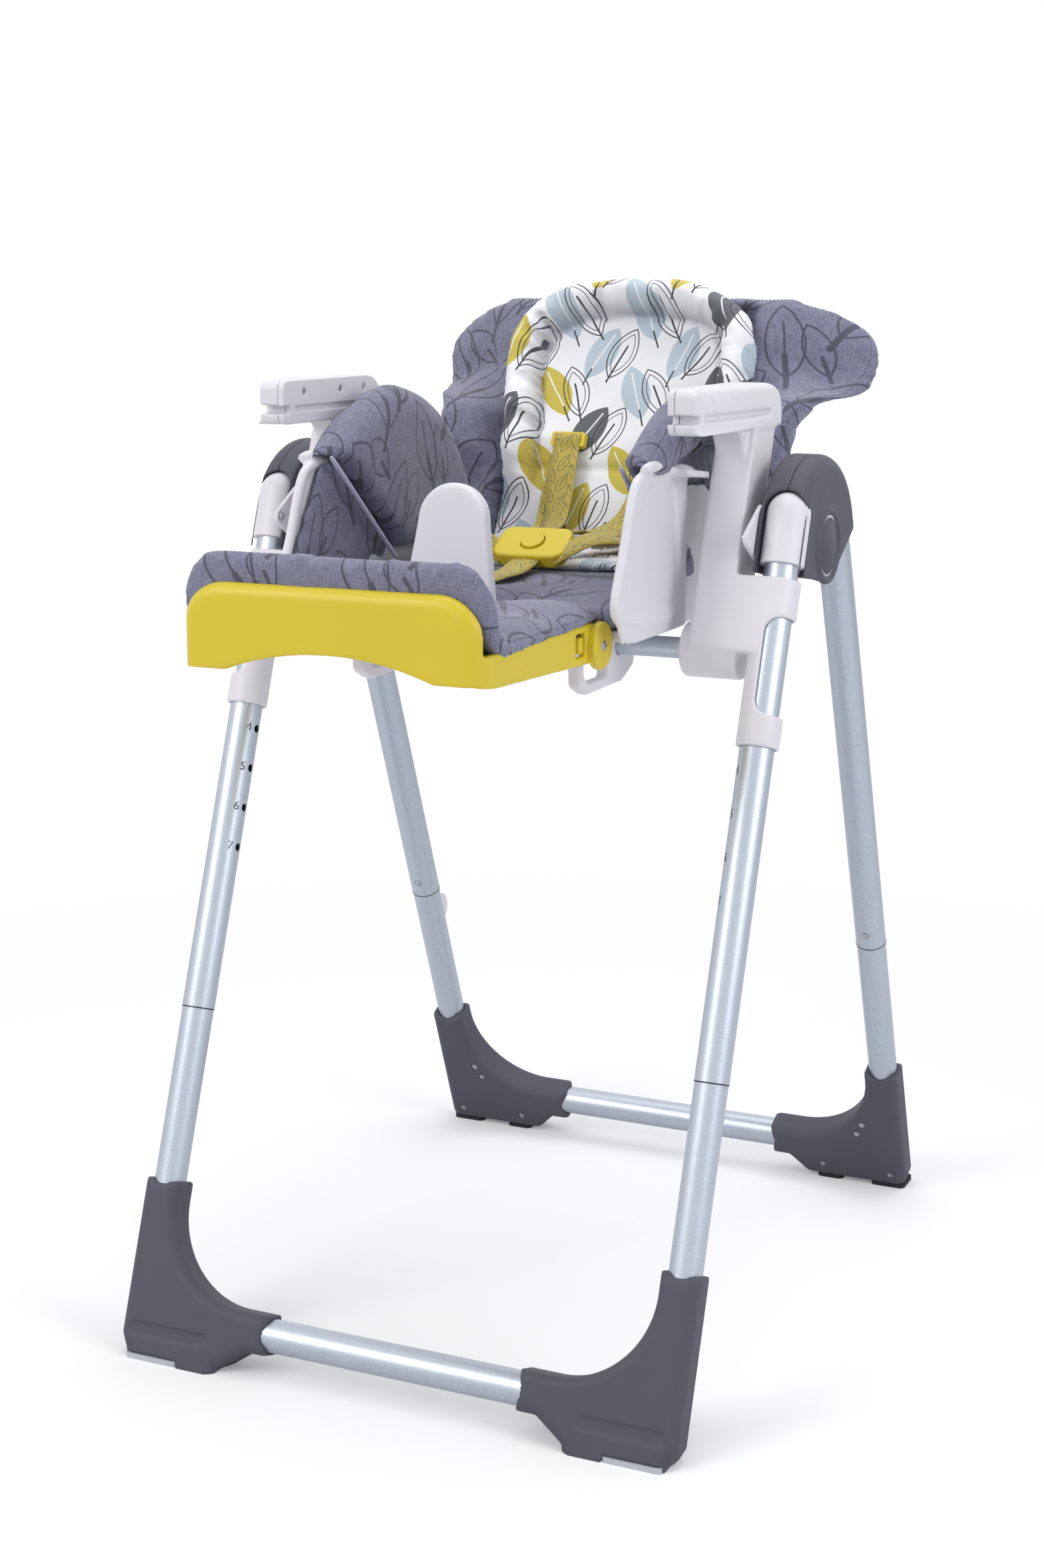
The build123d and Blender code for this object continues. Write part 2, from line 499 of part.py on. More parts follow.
def armrest_part(x0, x1):
    """Armrest body over one X range, with the tray slot along it and the notch in front."""
    outline = make_face(Polyline(*armrest_points, close=True))
    verts = outline.vertices()
    rear_top = ShapeList([v for v in verts if v.X > 0 and v.Y > ARMREST_TOP_Z - 1])
    front = ShapeList([v for v in verts if v.X < 0])
    outline = fillet(rear_top, 30)
    front = ShapeList([v for v in outline.vertices() if v.X < ARMREST_FRONT_Y + 1])
    outline = fillet(front, 7)
    body = extrude(Plane.YZ.offset(x0) * outline, amount=x1 - x0)
    half = TRAY_SLOT_HEIGHT / 2
    return body - block(x0 - 50, x1 + 50, ARMREST_FRONT_Y - 1, ARMREST_FRONT_Y + TRAY_NOTCH,
                        TRAY_SLOT_Z - half, TRAY_SLOT_Z + half)


armrest = armrest_part(COLUMN_IN_X + COVER_THICKNESS, ARMREST_OUT_X)
armrest -= block(ARMREST_OUT_X - TRAY_SLOT_DEPTH, ARMREST_OUT_X + 1, ARMREST_FRONT_Y + TRAY_NOTCH + 8,
                 ARMREST_REAR_Y - 34, TRAY_SLOT_Z - 3, TRAY_SLOT_Z + 3)
side_frame = sleeve_and_column + armrest + gusset + barrel
side_frame -= front_leg * rod(TUBE_R + SLEEVE_GAP, SLEEVE_BOTTOM - 1, SLEEVE_TOP + 1)
cover_room = block(0, COLUMN_IN_X + COVER_THICKNESS + FIT_GAP, ARMREST_FRONT_Y - 1, ARMREST_REAR_Y + 1,
                   ARMREST_LOW_Z - 0.2, ARMREST_TOP_Z + 1)
side_frame -= cover_room
side_frame -= rod_x(SEAT_TUBE_R + FIT_GAP, 0, COLUMN_OUT_X - 6, BARREL_Y, BARREL_Z)

# height latch: lever between two lugs on the sleeve's inner rear side
LATCH_TOP = SLEEVE_TOP - 12.0
LATCH_LENGTH = 42.0
LATCH_HALF = 6.0
LATCH_TURN = 20.0
LATCH_PIN_R = 2.5
latch_frame = front_leg * Rot(0, 0, LATCH_TURN)
lug_y = SLEEVE_R + 7
for x in (-LATCH_HALF - 4.5, LATCH_HALF + 0.5):
    lug = block(x, x + 4, SLEEVE_R - 6, lug_y + 5, LATCH_TOP - 7, LATCH_TOP + 6)
    lug -= rod(TUBE_R + SLEEVE_GAP, LATCH_TOP - 20, LATCH_TOP + 20)
    lug -= Pos(0, lug_y, LATCH_TOP) * Rot(0, 90, 0) * Cylinder(LATCH_PIN_R + RUN_GAP, 60)
    side_frame += latch_frame * lug
latch = block(-LATCH_HALF, LATCH_HALF, SLEEVE_R + 2, SLEEVE_R + 11, LATCH_TOP - LATCH_LENGTH, LATCH_TOP + 5)
latch = fillet(latch.edges().filter_by(Axis.X), 3.5)
latch += Pos(0, lug_y, LATCH_TOP) * Rot(0, 90, 0) * Cylinder(LATCH_PIN_R, 2 * LATCH_HALF + 8)
save_sides("height_latch", latch_frame * latch)

cover = armrest_part(COLUMN_IN_X, COLUMN_IN_X + COVER_THICKNESS)
cover -= block(COLUMN_IN_X - 1, COLUMN_IN_X + TRAY_SLOT_DEPTH - 1, ARMREST_FRONT_Y + TRAY_NOTCH + 8,
               ARMREST_REAR_Y - 34, TRAY_SLOT_Z - 3, TRAY_SLOT_Z + 3)
screw_places = [(ARMREST_FRONT_Y + 40, 915), (-40, 915), (ARMREST_REAR_Y - 38, 915)]
for y, z in screw_places:
    cover -= rod_x(3.5, COLUMN_IN_X - 1, COLUMN_IN_X + 3, y, z)
save_sides("side_frame", side_frame)
save_sides("armrest_cover", cover)
arm_screws = [rod_x(3.3, COLUMN_IN_X + 0.8, COLUMN_IN_X + 3, y, z) for y, z in screw_places]
save("armrest_screws", Compound(children=[Part() + s for s in arm_screws + [mirrored(s) for s in arm_screws]]))

SEAT_TUBE_HALF = COLUMN_OUT_X - 7
seat_tube = rod_x(SEAT_TUBE_R, -SEAT_TUBE_HALF, SEAT_TUBE_HALF, BARREL_Y, BARREL_Z)
seat_tube -= rod_x(SEAT_TUBE_R - TUBE_WALL, -SEAT_TUBE_HALF - 1, SEAT_TUBE_HALF + 1, BARREL_Y, BARREL_Z)
save("seat_cross_tube", seat_tube)

# ---------------------------------------------------------------- seat shell
POST_SEAT = 3.0          # the pan's skin under the post
POST_ROUND = 5.0
post_plane = Plane(origin=(0, POST_FOOT_Y, PAN_BOTTOM_Z), x_dir=(1, 0, 0),
                   z_dir=(0, -cos(radians(POST_LEAN)), sin(radians(POST_LEAN))))


def post_solid(grow):
    """Crotch post, or its room when grown: wide at the foot, round at the top."""
    foot, top = POST_FOOT_HALF + grow, POST_TOP_HALF + grow
    shoulder = POST_HEIGHT - POST_TOP_HALF
    face = make_face([
        Line((-foot, 0), (foot, 0)),
        Line((foot, 0), (top, shoulder)),
        ThreePointArc((top, shoulder), (0, POST_HEIGHT + grow), (-top, shoulder)),
        Line((-top, shoulder), (-foot, 0)),
    ])
    return post_plane * (Pos(0, 0, grow) * extrude(face, amount=-POST_DEPTH - 2 * grow))


WING_TOP_Z = 856.0
PAN_TOP_Z = PAN_BOTTOM_Z + PAN_THICKNESS
WING_REAR_Y = -38.0
wing_points = [(-192, PAN_BOTTOM_Z + 2), (-208, 738), (-203, 766), (-171, 820), (-142, WING_TOP_Z),
               (WING_REAR_Y, WING_TOP_Z - 6), (WING_REAR_Y, PAN_BOTTOM_Z)]
cheek_points = [(WING_REAR_Y - 12, PAN_BOTTOM_Z), (WING_REAR_Y - 12, 834), (30, 828), (78, 800),
                (BACK_Y + 18, BACK_Z + 22), (BACK_Y + 18, PAN_BOTTOM_Z)]


def inside(points, half, wall):
    """Walls of a channel: the outline on both sides."""
    right = side_plate(points, half - wall, half, 5)
    return right + mirrored(right)


shell = inside(wing_points, SEAT_HALF, SEAT_WALL) + inside(cheek_points, CHEEK_HALF, SEAT_WALL)
pan_front_y = POST_FOOT_Y + 4
pan_wide_y = REST_Y + REST_CAP_R + 1
lug_outer = REST_HALF - REST_WALL - CLEAR
shell += block(-lug_outer, lug_outer, pan_front_y, pan_wide_y + 1, PAN_BOTTOM_Z, PAN_TOP_Z)
shell += block(-SEAT_HALF + 1, SEAT_HALF - 1, pan_wide_y, WING_REAR_Y - 2, PAN_BOTTOM_Z, PAN_TOP_Z)
shell += block(-CHEEK_HALF + 1, CHEEK_HALF - 1, WING_REAR_Y - 4, BACK_Y - 22, PAN_BOTTOM_Z, PAN_TOP_Z)
# step between wing and cheek
for s in (1, -1):
    shell += block(s * (CHEEK_HALF - SEAT_WALL), s * SEAT_HALF, WING_REAR_Y - 4, WING_REAR_Y, PAN_BOTTOM_Z + 2, 834)
# shallow panel pressed into the outside of each wing
panel_points = [(-178, 722), (-190, 742), (-160, 812), (-134, 842), (-54, 838), (-54, 722)]
panel = side_plate(panel_points, SEAT_HALF - 1.5, SEAT_HALF + 5, 8)
shell = shell - panel - mirrored(panel)
# flange from the wing's top to the column
flange_points = [(-92, WING_TOP_Z - 4), (WING_REAR_Y - 2, WING_TOP_Z - 10), (WING_REAR_Y - 2, WING_TOP_Z - 16),
                 (-92, WING_TOP_Z - 11)]
flange = side_plate(flange_points, SEAT_HALF - 2, COLUMN_IN_X - CLEAR)
shell = shell + flange + mirrored(flange)
# carriers under the pan: ring on the seat tube and a U-shaped guard in front
GUARD_X = 106.0
guard_points = [(-170, PAN_BOTTOM_Z + 3), (-164, 656), (-144, 646), (-62, 648), (-34, 660), (-34, PAN_BOTTOM_Z + 3)]
guard_hole = [(-156, PAN_BOTTOM_Z - 2), (-154, 663), (-142, 657), (-98, 657), (-98, PAN_BOTTOM_Z - 2)]
guard = side_plate(guard_points, GUARD_X, GUARD_X + 12, 4) - side_plate(guard_hole, GUARD_X - 1, GUARD_X + 13, 3)
rest_lug = rod_x(14, lug_outer - 10, lug_outer, REST_Y, REST_Z)
rest_lug += block(lug_outer - 10, lug_outer, REST_Y, REST_Y + 30, PAN_BOTTOM_Z - 8, PAN_TOP_Z)
shell = shell + guard + mirrored(guard) + rest_lug + mirrored(rest_lug)
shell -= rod_x(SEAT_TUBE_R + FIT_GAP, -400, 400, BARREL_Y, BARREL_Z)
shell -= rod_x(REST_PIN_R + RUN_GAP, -400, 400, REST_Y, REST_Z)
shell -= rod_x(BACK_PIN_R + RUN_GAP, -400, 400, BACK_Y, BACK_Z)
shell -= post_solid(FIT_GAP) & block(-SEAT_HALF, SEAT_HALF, -400, 0, PAN_BOTTOM_Z + POST_SEAT, 900)
save("seat_shell", shell)

# crotch post: broad tongue that stands in the pan's front edge
post = post_solid(0)
post = fillet(post.edges().filter_by(lambda e: e.center().Z > PAN_TOP_Z + 20), POST_ROUND)
post &= block(-SEAT_HALF, SEAT_HALF, -400, 0, PAN_BOTTOM_Z + POST_SEAT + FIT_GAP, 900)
save("crotch_post", post)

# ---------------------------------------------------------------- pads on the seat
PAD_NOTCH_GAP = 2.5      # between the crotch post and the pads round it
PAD_HALF = CHEEK_HALF - SEAT_WALL - 2
seat_pad = block(-PAD_HALF, PAD_HALF, REST_Y + 2, BACK_Y - 22, PAN_TOP_Z + PAD_GAP, SEAT_PAD_TOP_Z)
seat_pad = fillet(seat_pad.edges().filter_by(Axis.Z), 12)
seat_pad = fillet(seat_pad.faces().sort_by(Axis.Z)[-1].edges(), 8)
seat_pad -= post_solid(PAD_NOTCH_GAP)
seat_pad -= block(-400, 400, REST_Y - 20, pan_wide_y, 0, REST_Z + REST_CAP_R + 1)
save("seat_pad", seat_pad)

wing_pad_points = [(-178, SEAT_PAD_TOP_Z + 2), (-192, 760), (-160, 822), (-132, 860), (-64, 900), (-24, 908),
                   (22, 898), (58, 868), (92, 822), (112, 768), (108, SEAT_PAD_TOP_Z + 2)]
WING_PAD_OUT = CHEEK_HALF - SEAT_WALL - 1
wing_pad = side_plate(wing_pad_points, WING_PAD_OUT - WING_PAD_THICKNESS, WING_PAD_OUT, 6)
wing_pad = fillet(wing_pad.faces().sort_by(Axis.X)[0].edges(), 4)
save_sides("wing_pad", wing_pad)

# ---------------------------------------------------------------- backrest
hinge_lug_x1 = BACK_SHELL_HALF + HINGE_ARM
shell_face = make_face(Polyline((-BACK_SHELL_HALF, 22), (BACK_SHELL_HALF, 22), (BACK_SHELL_HALF, 318),
                                (-BACK_SHELL_HALF, 318), close=True))
shell_face = fillet(ShapeList([v for v in shell_face.vertices() if v.Y > 100]), 90)
SHELL_SKIN = 5.0
plate = Pos(0, 0, BACK_SHELL_N) * extrude(shell_face, amount=SHELL_SKIN)
arm_points = [(-12, -6), (-12, 8), (10, 12), (60, -20), (90, BACK_SHELL_N + 4), (60, BACK_SHELL_N),
              (20, BACK_SHELL_N), (6, -30)]
back_arm = side_plate(arm_points, BACK_SHELL_HALF, hinge_lug_x1, 4)
link = block(BACK_SHELL_HALF - 12, BACK_SHELL_HALF + 4, 26, 70, BACK_SHELL_N, BACK_SHELL_N + SHELL_SKIN)
back_pin = Plane.XY * rod_x(BACK_PIN_R, BACK_SHELL_HALF + 2, CHEEK_HALF, 0, 0)
back_shell = plate
for piece in (back_arm, link, back_pin):
    back_shell = back_shell + piece + mirrored(piece)
HANDLE_S = 176.0         # handle's rod, up the back
HANDLE_N = BACK_SHELL_N - 14.0
HANDLE_ROD_R = 3.0
HANDLE_EAR_X = 60.0
HANDLE_EAR_HALF = 4.0
HANDLE_ARM = 14.0
for x in (HANDLE_EAR_X, -HANDLE_EAR_X):
    ear = block(x - HANDLE_EAR_HALF, x + HANDLE_EAR_HALF, HANDLE_S - 9, HANDLE_S + 9, HANDLE_N - 7, BACK_SHELL_N + 1)
    back_shell += ear
back_shell -= rod_x(HANDLE_ROD_R + RUN_GAP, -BACK_SHELL_HALF, BACK_SHELL_HALF, HANDLE_S, HANDLE_N)
save("backrest_shell", back * back_shell)

# recline handle: wide bar on two arms, turning on a rod behind the shell
bar_half = BACK_SHELL_HALF - 11
bar = rod_x(8, -bar_half, bar_half, HANDLE_S - 34, HANDLE_N - 8)
bar = fillet(bar.edges(), 3)
handle = bar
arm_x = HANDLE_EAR_X + HANDLE_EAR_HALF + 2
for x0, x1 in ((arm_x, arm_x + HANDLE_ARM), (-arm_x - HANDLE_ARM, -arm_x)):
    arm_block = block(x0, x1, HANDLE_S - 40, HANDLE_S + 8, HANDLE_N - 12, HANDLE_N + 5)
    handle += fillet(arm_block.edges().filter_by(Axis.X), 4)
handle += rod_x(HANDLE_ROD_R, -arm_x - 9, arm_x + 9, HANDLE_S, HANDLE_N)
save("recline_handle", back * handle)

# pad: notched for the hinge arms, wide behind the wings, with a lobe on either side of the head
PAD_BACK_N = BACK_SHELL_N + SHELL_SKIN + 2.0
PAD_FRONT_N = -15.0
PAD_NOTCH_S = 94.0       # top of the hinge arms' notch
half_outline = [(134, 16), (166, 58), (184, 100), (190, 150), (195, 190), (214, 217), (238, 238), (250, 262),
                (238, 290), (198, 309), (120, 326), (0, 334)]


def back_outline(points, inset=0.0):
    """Closed outline, symmetric about the middle, smooth above the straight bottom edge."""
    right = [(x - inset if x else 0, s - (inset if s > 300 else 0)) for x, s in points]
    left = [(-x, s) for x, s in reversed(right[:-1])]
    edge = Spline(*(right + left))
    return make_face([edge, Line(left[-1], right[0])])


back_pad = Pos(0, 0, PAD_BACK_N) * extrude(back_outline(half_outline), amount=PAD_FRONT_N - PAD_BACK_N)
back_pad = fillet(back_pad.faces().sort_by(Axis.Z)[-1].edges(), 5)
notch = block(BACK_SHELL_HALF - CLEAR, LEG_X, 0, PAD_NOTCH_S, BACK_SHELL_N, 0)
save("backrest_pad", back * (back_pad - notch - mirrored(notch)))

LINER_N0 = PAD_FRONT_N + 0.5
LINER_N1 = -3.0
RIM_N = 18.0
RIM_WIDTH = 34.0
liner_half = [(112, 42), (122, 100), (132, 180), (139, 240), (130, 284), (94, 318), (0, 334)]
liner_pad = Pos(0, 0, LINER_N0) * extrude(back_outline(liner_half), amount=RIM_N - LINER_N0)
pocket_half = [(x - RIM_WIDTH if x else 0, s - (RIM_WIDTH if s > 300 else 6)) for x, s in liner_half]
pocket_half[0] = (liner_half[0][0] - RIM_WIDTH, -10)
pocket = Pos(0, 0, LINER_N1) * extrude(back_outline(pocket_half), amount=60)
liner_pad -= pocket
save("infant_liner", back * liner_pad)


def strap(plane, p, q, width=STRAP_WIDTH):
    """Flat webbing from p to q in a plane's coordinates, its width across the run."""
    run = Vector(*q) - Vector(*p)
    axis = Plane(origin=p, z_dir=run, x_dir=Vector(1, 0, 0) if abs(run.normalized().X) < 0.9 else Vector(0, 1, 0))
    return plane * axis * (Pos(0, 0, run.length / 2) * Box(width, STRAP_THICKNESS, run.length))


SLIDER_S = 152.0
SLIDER_X = 52.0
STRAP_BEND = (38, 44, 24)        # where the shoulder strap leaves the liner
shoulder = strap(back, (SLIDER_X, SLIDER_S - 13, 3), STRAP_BEND)
shoulder += strap(back, STRAP_BEND, (24, 14, 122))
save("shoulder_straps", pair(shoulder))
slider = block(SLIDER_X - 19, SLIDER_X + 19, SLIDER_S - 8, SLIDER_S + 8, -2, 6)
slider = fillet(slider.edges().filter_by(Axis.Z), 3)
save("strap_sliders", pair(back * slider))

# ---------------------------------------------------------------- buckle and lap straps
BUCKLE_TILT = 32.0
buckle_plane = Plane(origin=(0, -6, 764), x_dir=(1, 0, 0),
                     z_dir=(0, -sin(radians(BUCKLE_TILT)), cos(radians(BUCKLE_TILT))))
buckle = extrude(RectangleRounded(76, 46, 12), amount=7, both=True)
buckle = fillet(buckle.faces().sort_by(Axis.Z)[-1].edges(), 3)
buckle -= Pos(0, 0, 3) * Cylinder(12.4, 20, align=(Align.CENTER, Align.CENTER, Align.MIN))
save("buckle", buckle_plane * buckle)
buckle_button = rod(12, 5.2, 9.5)
buckle_button = fillet(buckle_button.edges().sort_by(Axis.Z)[-1], 1.5)
save("buckle_button", buckle_plane * buckle_button)
lap = strap(Plane.XY, (46, -2, 762), (128, 62, 752))
crotch = block(-STRAP_WIDTH / 2, STRAP_WIDTH / 2, -70, -34, SEAT_PAD_TOP_Z + 0.5, SEAT_PAD_TOP_Z + 2.5)
save("lap_straps", Compound(children=[Part() + lap, Part() + mirrored(lap), Part() + crotch]))

# ---------------------------------------------------------------- calf rest
REST_ARM_TOP_Z = REST_FLOOR_Z + 5.5
rest_points = [(REST_Y - 14, REST_Z - 15), (REST_Y - 60, REST_Z - 13), (REST_FRONT_Y + 30, REST_Z - 7),
               (REST_FRONT_Y, REST_Z - 3), (REST_FRONT_Y, REST_ARM_TOP_Z), (REST_Y - 6, REST_ARM_TOP_Z),
               (REST_Y + 13, REST_Z + 8), (REST_Y + 13, REST_Z - 8)]
rest_arm = side_plate(rest_points, REST_HALF - REST_WALL, REST_HALF)
rest_arm = fillet(ShapeList([e for e in rest_arm.edges().filter_by(Axis.X) if e.center().Y > REST_Y - 20]), 6)
front_wall = make_face([
    Line((-REST_HALF, REST_Z - 3), (-REST_HALF, REST_PLATE_TOP_Z)),
    Line((-REST_HALF, REST_PLATE_TOP_Z), (REST_HALF, REST_PLATE_TOP_Z)),
    Line((REST_HALF, REST_PLATE_TOP_Z), (REST_HALF, REST_Z - 3)),
    Line((REST_HALF, REST_Z - 3), (REST_HALF - 44, REST_Z - 3)),
    ThreePointArc((REST_HALF - 44, REST_Z - 3), (0, REST_Z + 15), (-REST_HALF + 44, REST_Z - 3)),
    Line((-REST_HALF + 44, REST_Z - 3), (-REST_HALF, REST_Z - 3)),
])
front_wall = fillet(front_wall.vertices().filter_by(lambda v: v.Y > REST_PLATE_TOP_Z - 1), REST_CORNER)
front_wall = extrude(Plane.XZ.offset(-REST_FRONT_Y) * front_wall, amount=-REST_PLATE_THICKNESS)
floor = block(-REST_HALF + 1, REST_HALF - 1, REST_FRONT_Y + 5, REST_Y - 26, REST_FLOOR_Z,
              REST_FLOOR_Z + REST_FLOOR_THICKNESS)
rest = rest_arm + mirrored(rest_arm) + front_wall + floor
envelope = block(-REST_HALF, REST_HALF, REST_FRONT_Y, REST_Y + REST_CAP_R, 0, REST_PLATE_TOP_Z + 1)
envelope = fillet(envelope.edges().filter_by(Axis.Z).group_by(Axis.Y)[0], REST_BEND)
rest &= envelope
rest = fillet(rest.faces().sort_by(Axis.Y)[0].edges().filter_by(lambda e: e.center().Z > REST_Z + 40), 4)
CATCH_Y = REST_Y - 35.0
CATCH_WINDOW = 22.0
rest -= block(-400, 400, CATCH_Y - CATCH_WINDOW / 2, CATCH_Y + CATCH_WINDOW / 2, REST_Z - 6, REST_FLOOR_Z - 1)
rest -= rod_x(REST_PIN_R + FIT_GAP, -400, 400, REST_Y, REST_Z)
save("calf_rest_frame", rest)
cap = rod_x(REST_CAP_R, REST_HALF + FIT_GAP, REST_HALF + 7, REST_Y, REST_Z)
cap = fillet(cap.edges().sort_by(Axis.X)[-1], 2)
cap += rod_x(REST_PIN_R, lug_outer - 9, REST_HALF + 1, REST_Y, REST_Z)
save("calf_rest_pivots", pair(cap))
catch = block(-REST_HALF + 1, REST_HALF - 1, CATCH_Y - 4, CATCH_Y + 6, REST_Z - 3, REST_Z + 11)
catch = fillet(catch.edges().filter_by(Axis.X), 2)
save("calf_rest_catch", catch)

pad_low = REST_Z + REST_CAP_R + 1
lip_y = REST_FRONT_Y + REST_PLATE_THICKNESS + PAD_GAP
calf_points = [(REST_Y - 4, pad_low), (lip_y, pad_low), (lip_y, CALF_PAD_LIP_Z),
               (lip_y + CALF_LIP_THICKNESS, CALF_PAD_LIP_Z), (lip_y + CALF_LIP_THICKNESS, CALF_PAD_TOP_Z),
               (REST_Y - 4, CALF_PAD_TOP_Z)]
calf_pad = side_plate(calf_points, -CALF_PAD_HALF, CALF_PAD_HALF)
lip_ends = calf_pad.edges().filter_by(Axis.Y).filter_by(lambda e: e.center().Z > CALF_PAD_LIP_Z - 1)
calf_pad = fillet(lip_ends, REST_CORNER)
calf_pad = fillet(calf_pad.edges().filter_by(Axis.X).filter_by(lambda e: e.center().Z > CALF_PAD_TOP_Z + 5), 7)
notch_half = POST_FOOT_HALF + PAD_NOTCH_GAP
calf_pad -= block(-notch_half, notch_half, POST_FOOT_Y - PAD_NOTCH_GAP, 0, 0, 900)
save("calf_pad", calf_pad)
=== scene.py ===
# %% [markdown]
# # A folding baby high chair
#
# The chair stands on two folding pairs of metal legs with corner boots. A white carriage slides on the
# front legs and holds the seat, the reclining back, the calf rest and the harness. The construction
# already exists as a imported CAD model. This file dresses it: it gives the hard parts their finish and
# builds the padded covers, the printed liner, the webbing and the small trim as meshes.

# %% Load the frame
import json
import math

import bmesh
import bpy
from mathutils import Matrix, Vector, noise
from mathutils.bvhtree import BVHTree
from mathutils.geometry import delaunay_2d_cdt
from mathutils.kdtree import KDTree

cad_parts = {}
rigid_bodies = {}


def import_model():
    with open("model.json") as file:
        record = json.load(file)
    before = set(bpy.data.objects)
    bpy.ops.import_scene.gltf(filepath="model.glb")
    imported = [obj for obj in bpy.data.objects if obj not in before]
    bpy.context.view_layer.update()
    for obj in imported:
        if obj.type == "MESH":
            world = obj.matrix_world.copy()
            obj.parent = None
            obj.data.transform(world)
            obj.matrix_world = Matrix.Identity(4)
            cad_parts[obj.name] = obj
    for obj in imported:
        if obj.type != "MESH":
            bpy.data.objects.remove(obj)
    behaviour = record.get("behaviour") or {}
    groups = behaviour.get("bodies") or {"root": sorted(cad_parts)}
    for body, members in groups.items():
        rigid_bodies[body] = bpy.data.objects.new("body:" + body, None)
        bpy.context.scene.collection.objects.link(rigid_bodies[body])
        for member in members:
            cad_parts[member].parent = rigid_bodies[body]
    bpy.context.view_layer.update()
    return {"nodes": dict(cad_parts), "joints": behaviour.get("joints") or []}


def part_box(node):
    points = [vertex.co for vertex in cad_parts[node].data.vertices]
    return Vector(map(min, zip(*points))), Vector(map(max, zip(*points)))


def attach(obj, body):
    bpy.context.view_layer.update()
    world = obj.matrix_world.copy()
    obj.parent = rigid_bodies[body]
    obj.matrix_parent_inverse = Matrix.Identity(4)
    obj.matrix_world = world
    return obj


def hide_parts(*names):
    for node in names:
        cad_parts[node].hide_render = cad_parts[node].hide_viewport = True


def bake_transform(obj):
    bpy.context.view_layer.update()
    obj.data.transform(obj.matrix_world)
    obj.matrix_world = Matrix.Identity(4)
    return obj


SIDES = ((1, "right"), (-1, "left"))
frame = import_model()
nodes = frame["nodes"]
joints = {joint["name"]: joint for joint in frame["joints"]}


def linked(name, data):
    """A new object of the scene that holds the data."""
    made = bpy.data.objects.new(name, data)
    bpy.context.scene.collection.objects.link(made)
    return made


def built(name, mesh, outwards=True):
    """Turns the mesh that is being built into an object, with its faces turned outwards."""
    if outwards:
        bmesh.ops.recalc_face_normals(mesh, faces=mesh.faces)
    data = bpy.data.meshes.new(name)
    mesh.to_mesh(data)
    mesh.free()
    return linked(name, data)


def evaluated(piece):
    """The piece as its modifiers make it."""
    return piece.evaluated_get(bpy.context.evaluated_depsgraph_get())


def settled(piece):
    """Turns what the piece's modifiers make into its plain mesh."""
    result = bpy.data.meshes.new_from_object(evaluated(piece))
    piece.modifiers.clear()
    piece.data = result
    result.name = piece.name
    return result


# %% [markdown]
# ## Camera, floor and light
#
# The view is a three-quarter view from the front right, a little above the seat. A plain pale floor and
# broad soft lamps show the shapes without hard shadows. The backdrop turns white only for rays that come
# from the camera or from shiny surfaces, so that it never adds light to the object.

# %% Camera
camera_data = bpy.data.cameras.new("camera")
camera_data.lens = 54.51
camera_data.clip_end = 50
camera = linked("camera", camera_data)
camera.location = (0.9631, -2.1253, 1.0223)
camera.rotation_euler = Vector((-0.4092, 0.8882, -0.2087)).to_track_quat("-Z", "Y").to_euler()
bpy.context.scene.camera = camera
bpy.context.scene.view_settings.view_transform = "Standard"


# %% Node helpers
def add(tree, kind, settings=None, **inputs):
    """Adds a node. An input is a socket to link or a value to set; its spaces are underscores."""
    made = tree.nodes.new(kind)
    for key, value in (settings or {}).items():
        setattr(made, key, value)
    for key, value in inputs.items():
        socket = made.inputs[int(key[1:])] if key[1:].isdigit() else made.inputs[key.replace("_", " ")]
        if isinstance(value, bpy.types.NodeSocket):
            tree.links.new(value, socket)
        else:
            socket.default_value = value
    return made


def calc(tree, operation, a, b=0.0, c=0.0):
    """The result of one math node."""
    return add(tree, "ShaderNodeMath", {"operation": operation}, i0=a, i1=b, i2=c).outputs[0]


def mix(tree, share, a, b):
    """Colour a where share is 0, colour b where it is 1."""
    made = add(tree, "ShaderNodeMix", {"data_type": "RGBA"}, i0=share, i6=a, i7=b)
    return made.outputs[2]


def rgb(red, green, blue):
    """A display colour from 0 to 255 as the linear colour that the shader wants."""
    def linear(value):
        share = value / 255
        return share / 12.92 if share <= 0.04045 else ((share + 0.055) / 1.055) ** 2.4
    return (linear(red), linear(green), linear(blue), 1)


# %% Floor and backdrop
FLOOR_COLOUR = (0.86, 0.86, 0.87, 1)
FLOOR_HALF = 8
FADE_FROM = 0.7
FADE_TO = 1.9
world = bpy.data.worlds.new("studio")
bpy.context.scene.world = world
world.use_nodes = True
tree = world.node_tree
tree.nodes.clear()
path = add(tree, "ShaderNodeLightPath")
seen = calc(tree, "MAXIMUM", path.outputs["Is Camera Ray"], path.outputs["Is Glossy Ray"])
seen = calc(tree, "MAXIMUM", seen, path.outputs["Is Transmission Ray"])
fill = add(tree, "ShaderNodeBackground", Color=(0.93, 0.95, 1, 1), Strength=0.55)
backdrop = add(tree, "ShaderNodeBackground", Color=(1, 1, 1, 1), Strength=1.0)
both = add(tree, "ShaderNodeMixShader", i0=seen, i1=fill.outputs[0], i2=backdrop.outputs[0])
add(tree, "ShaderNodeOutputWorld", Surface=both.outputs[0])

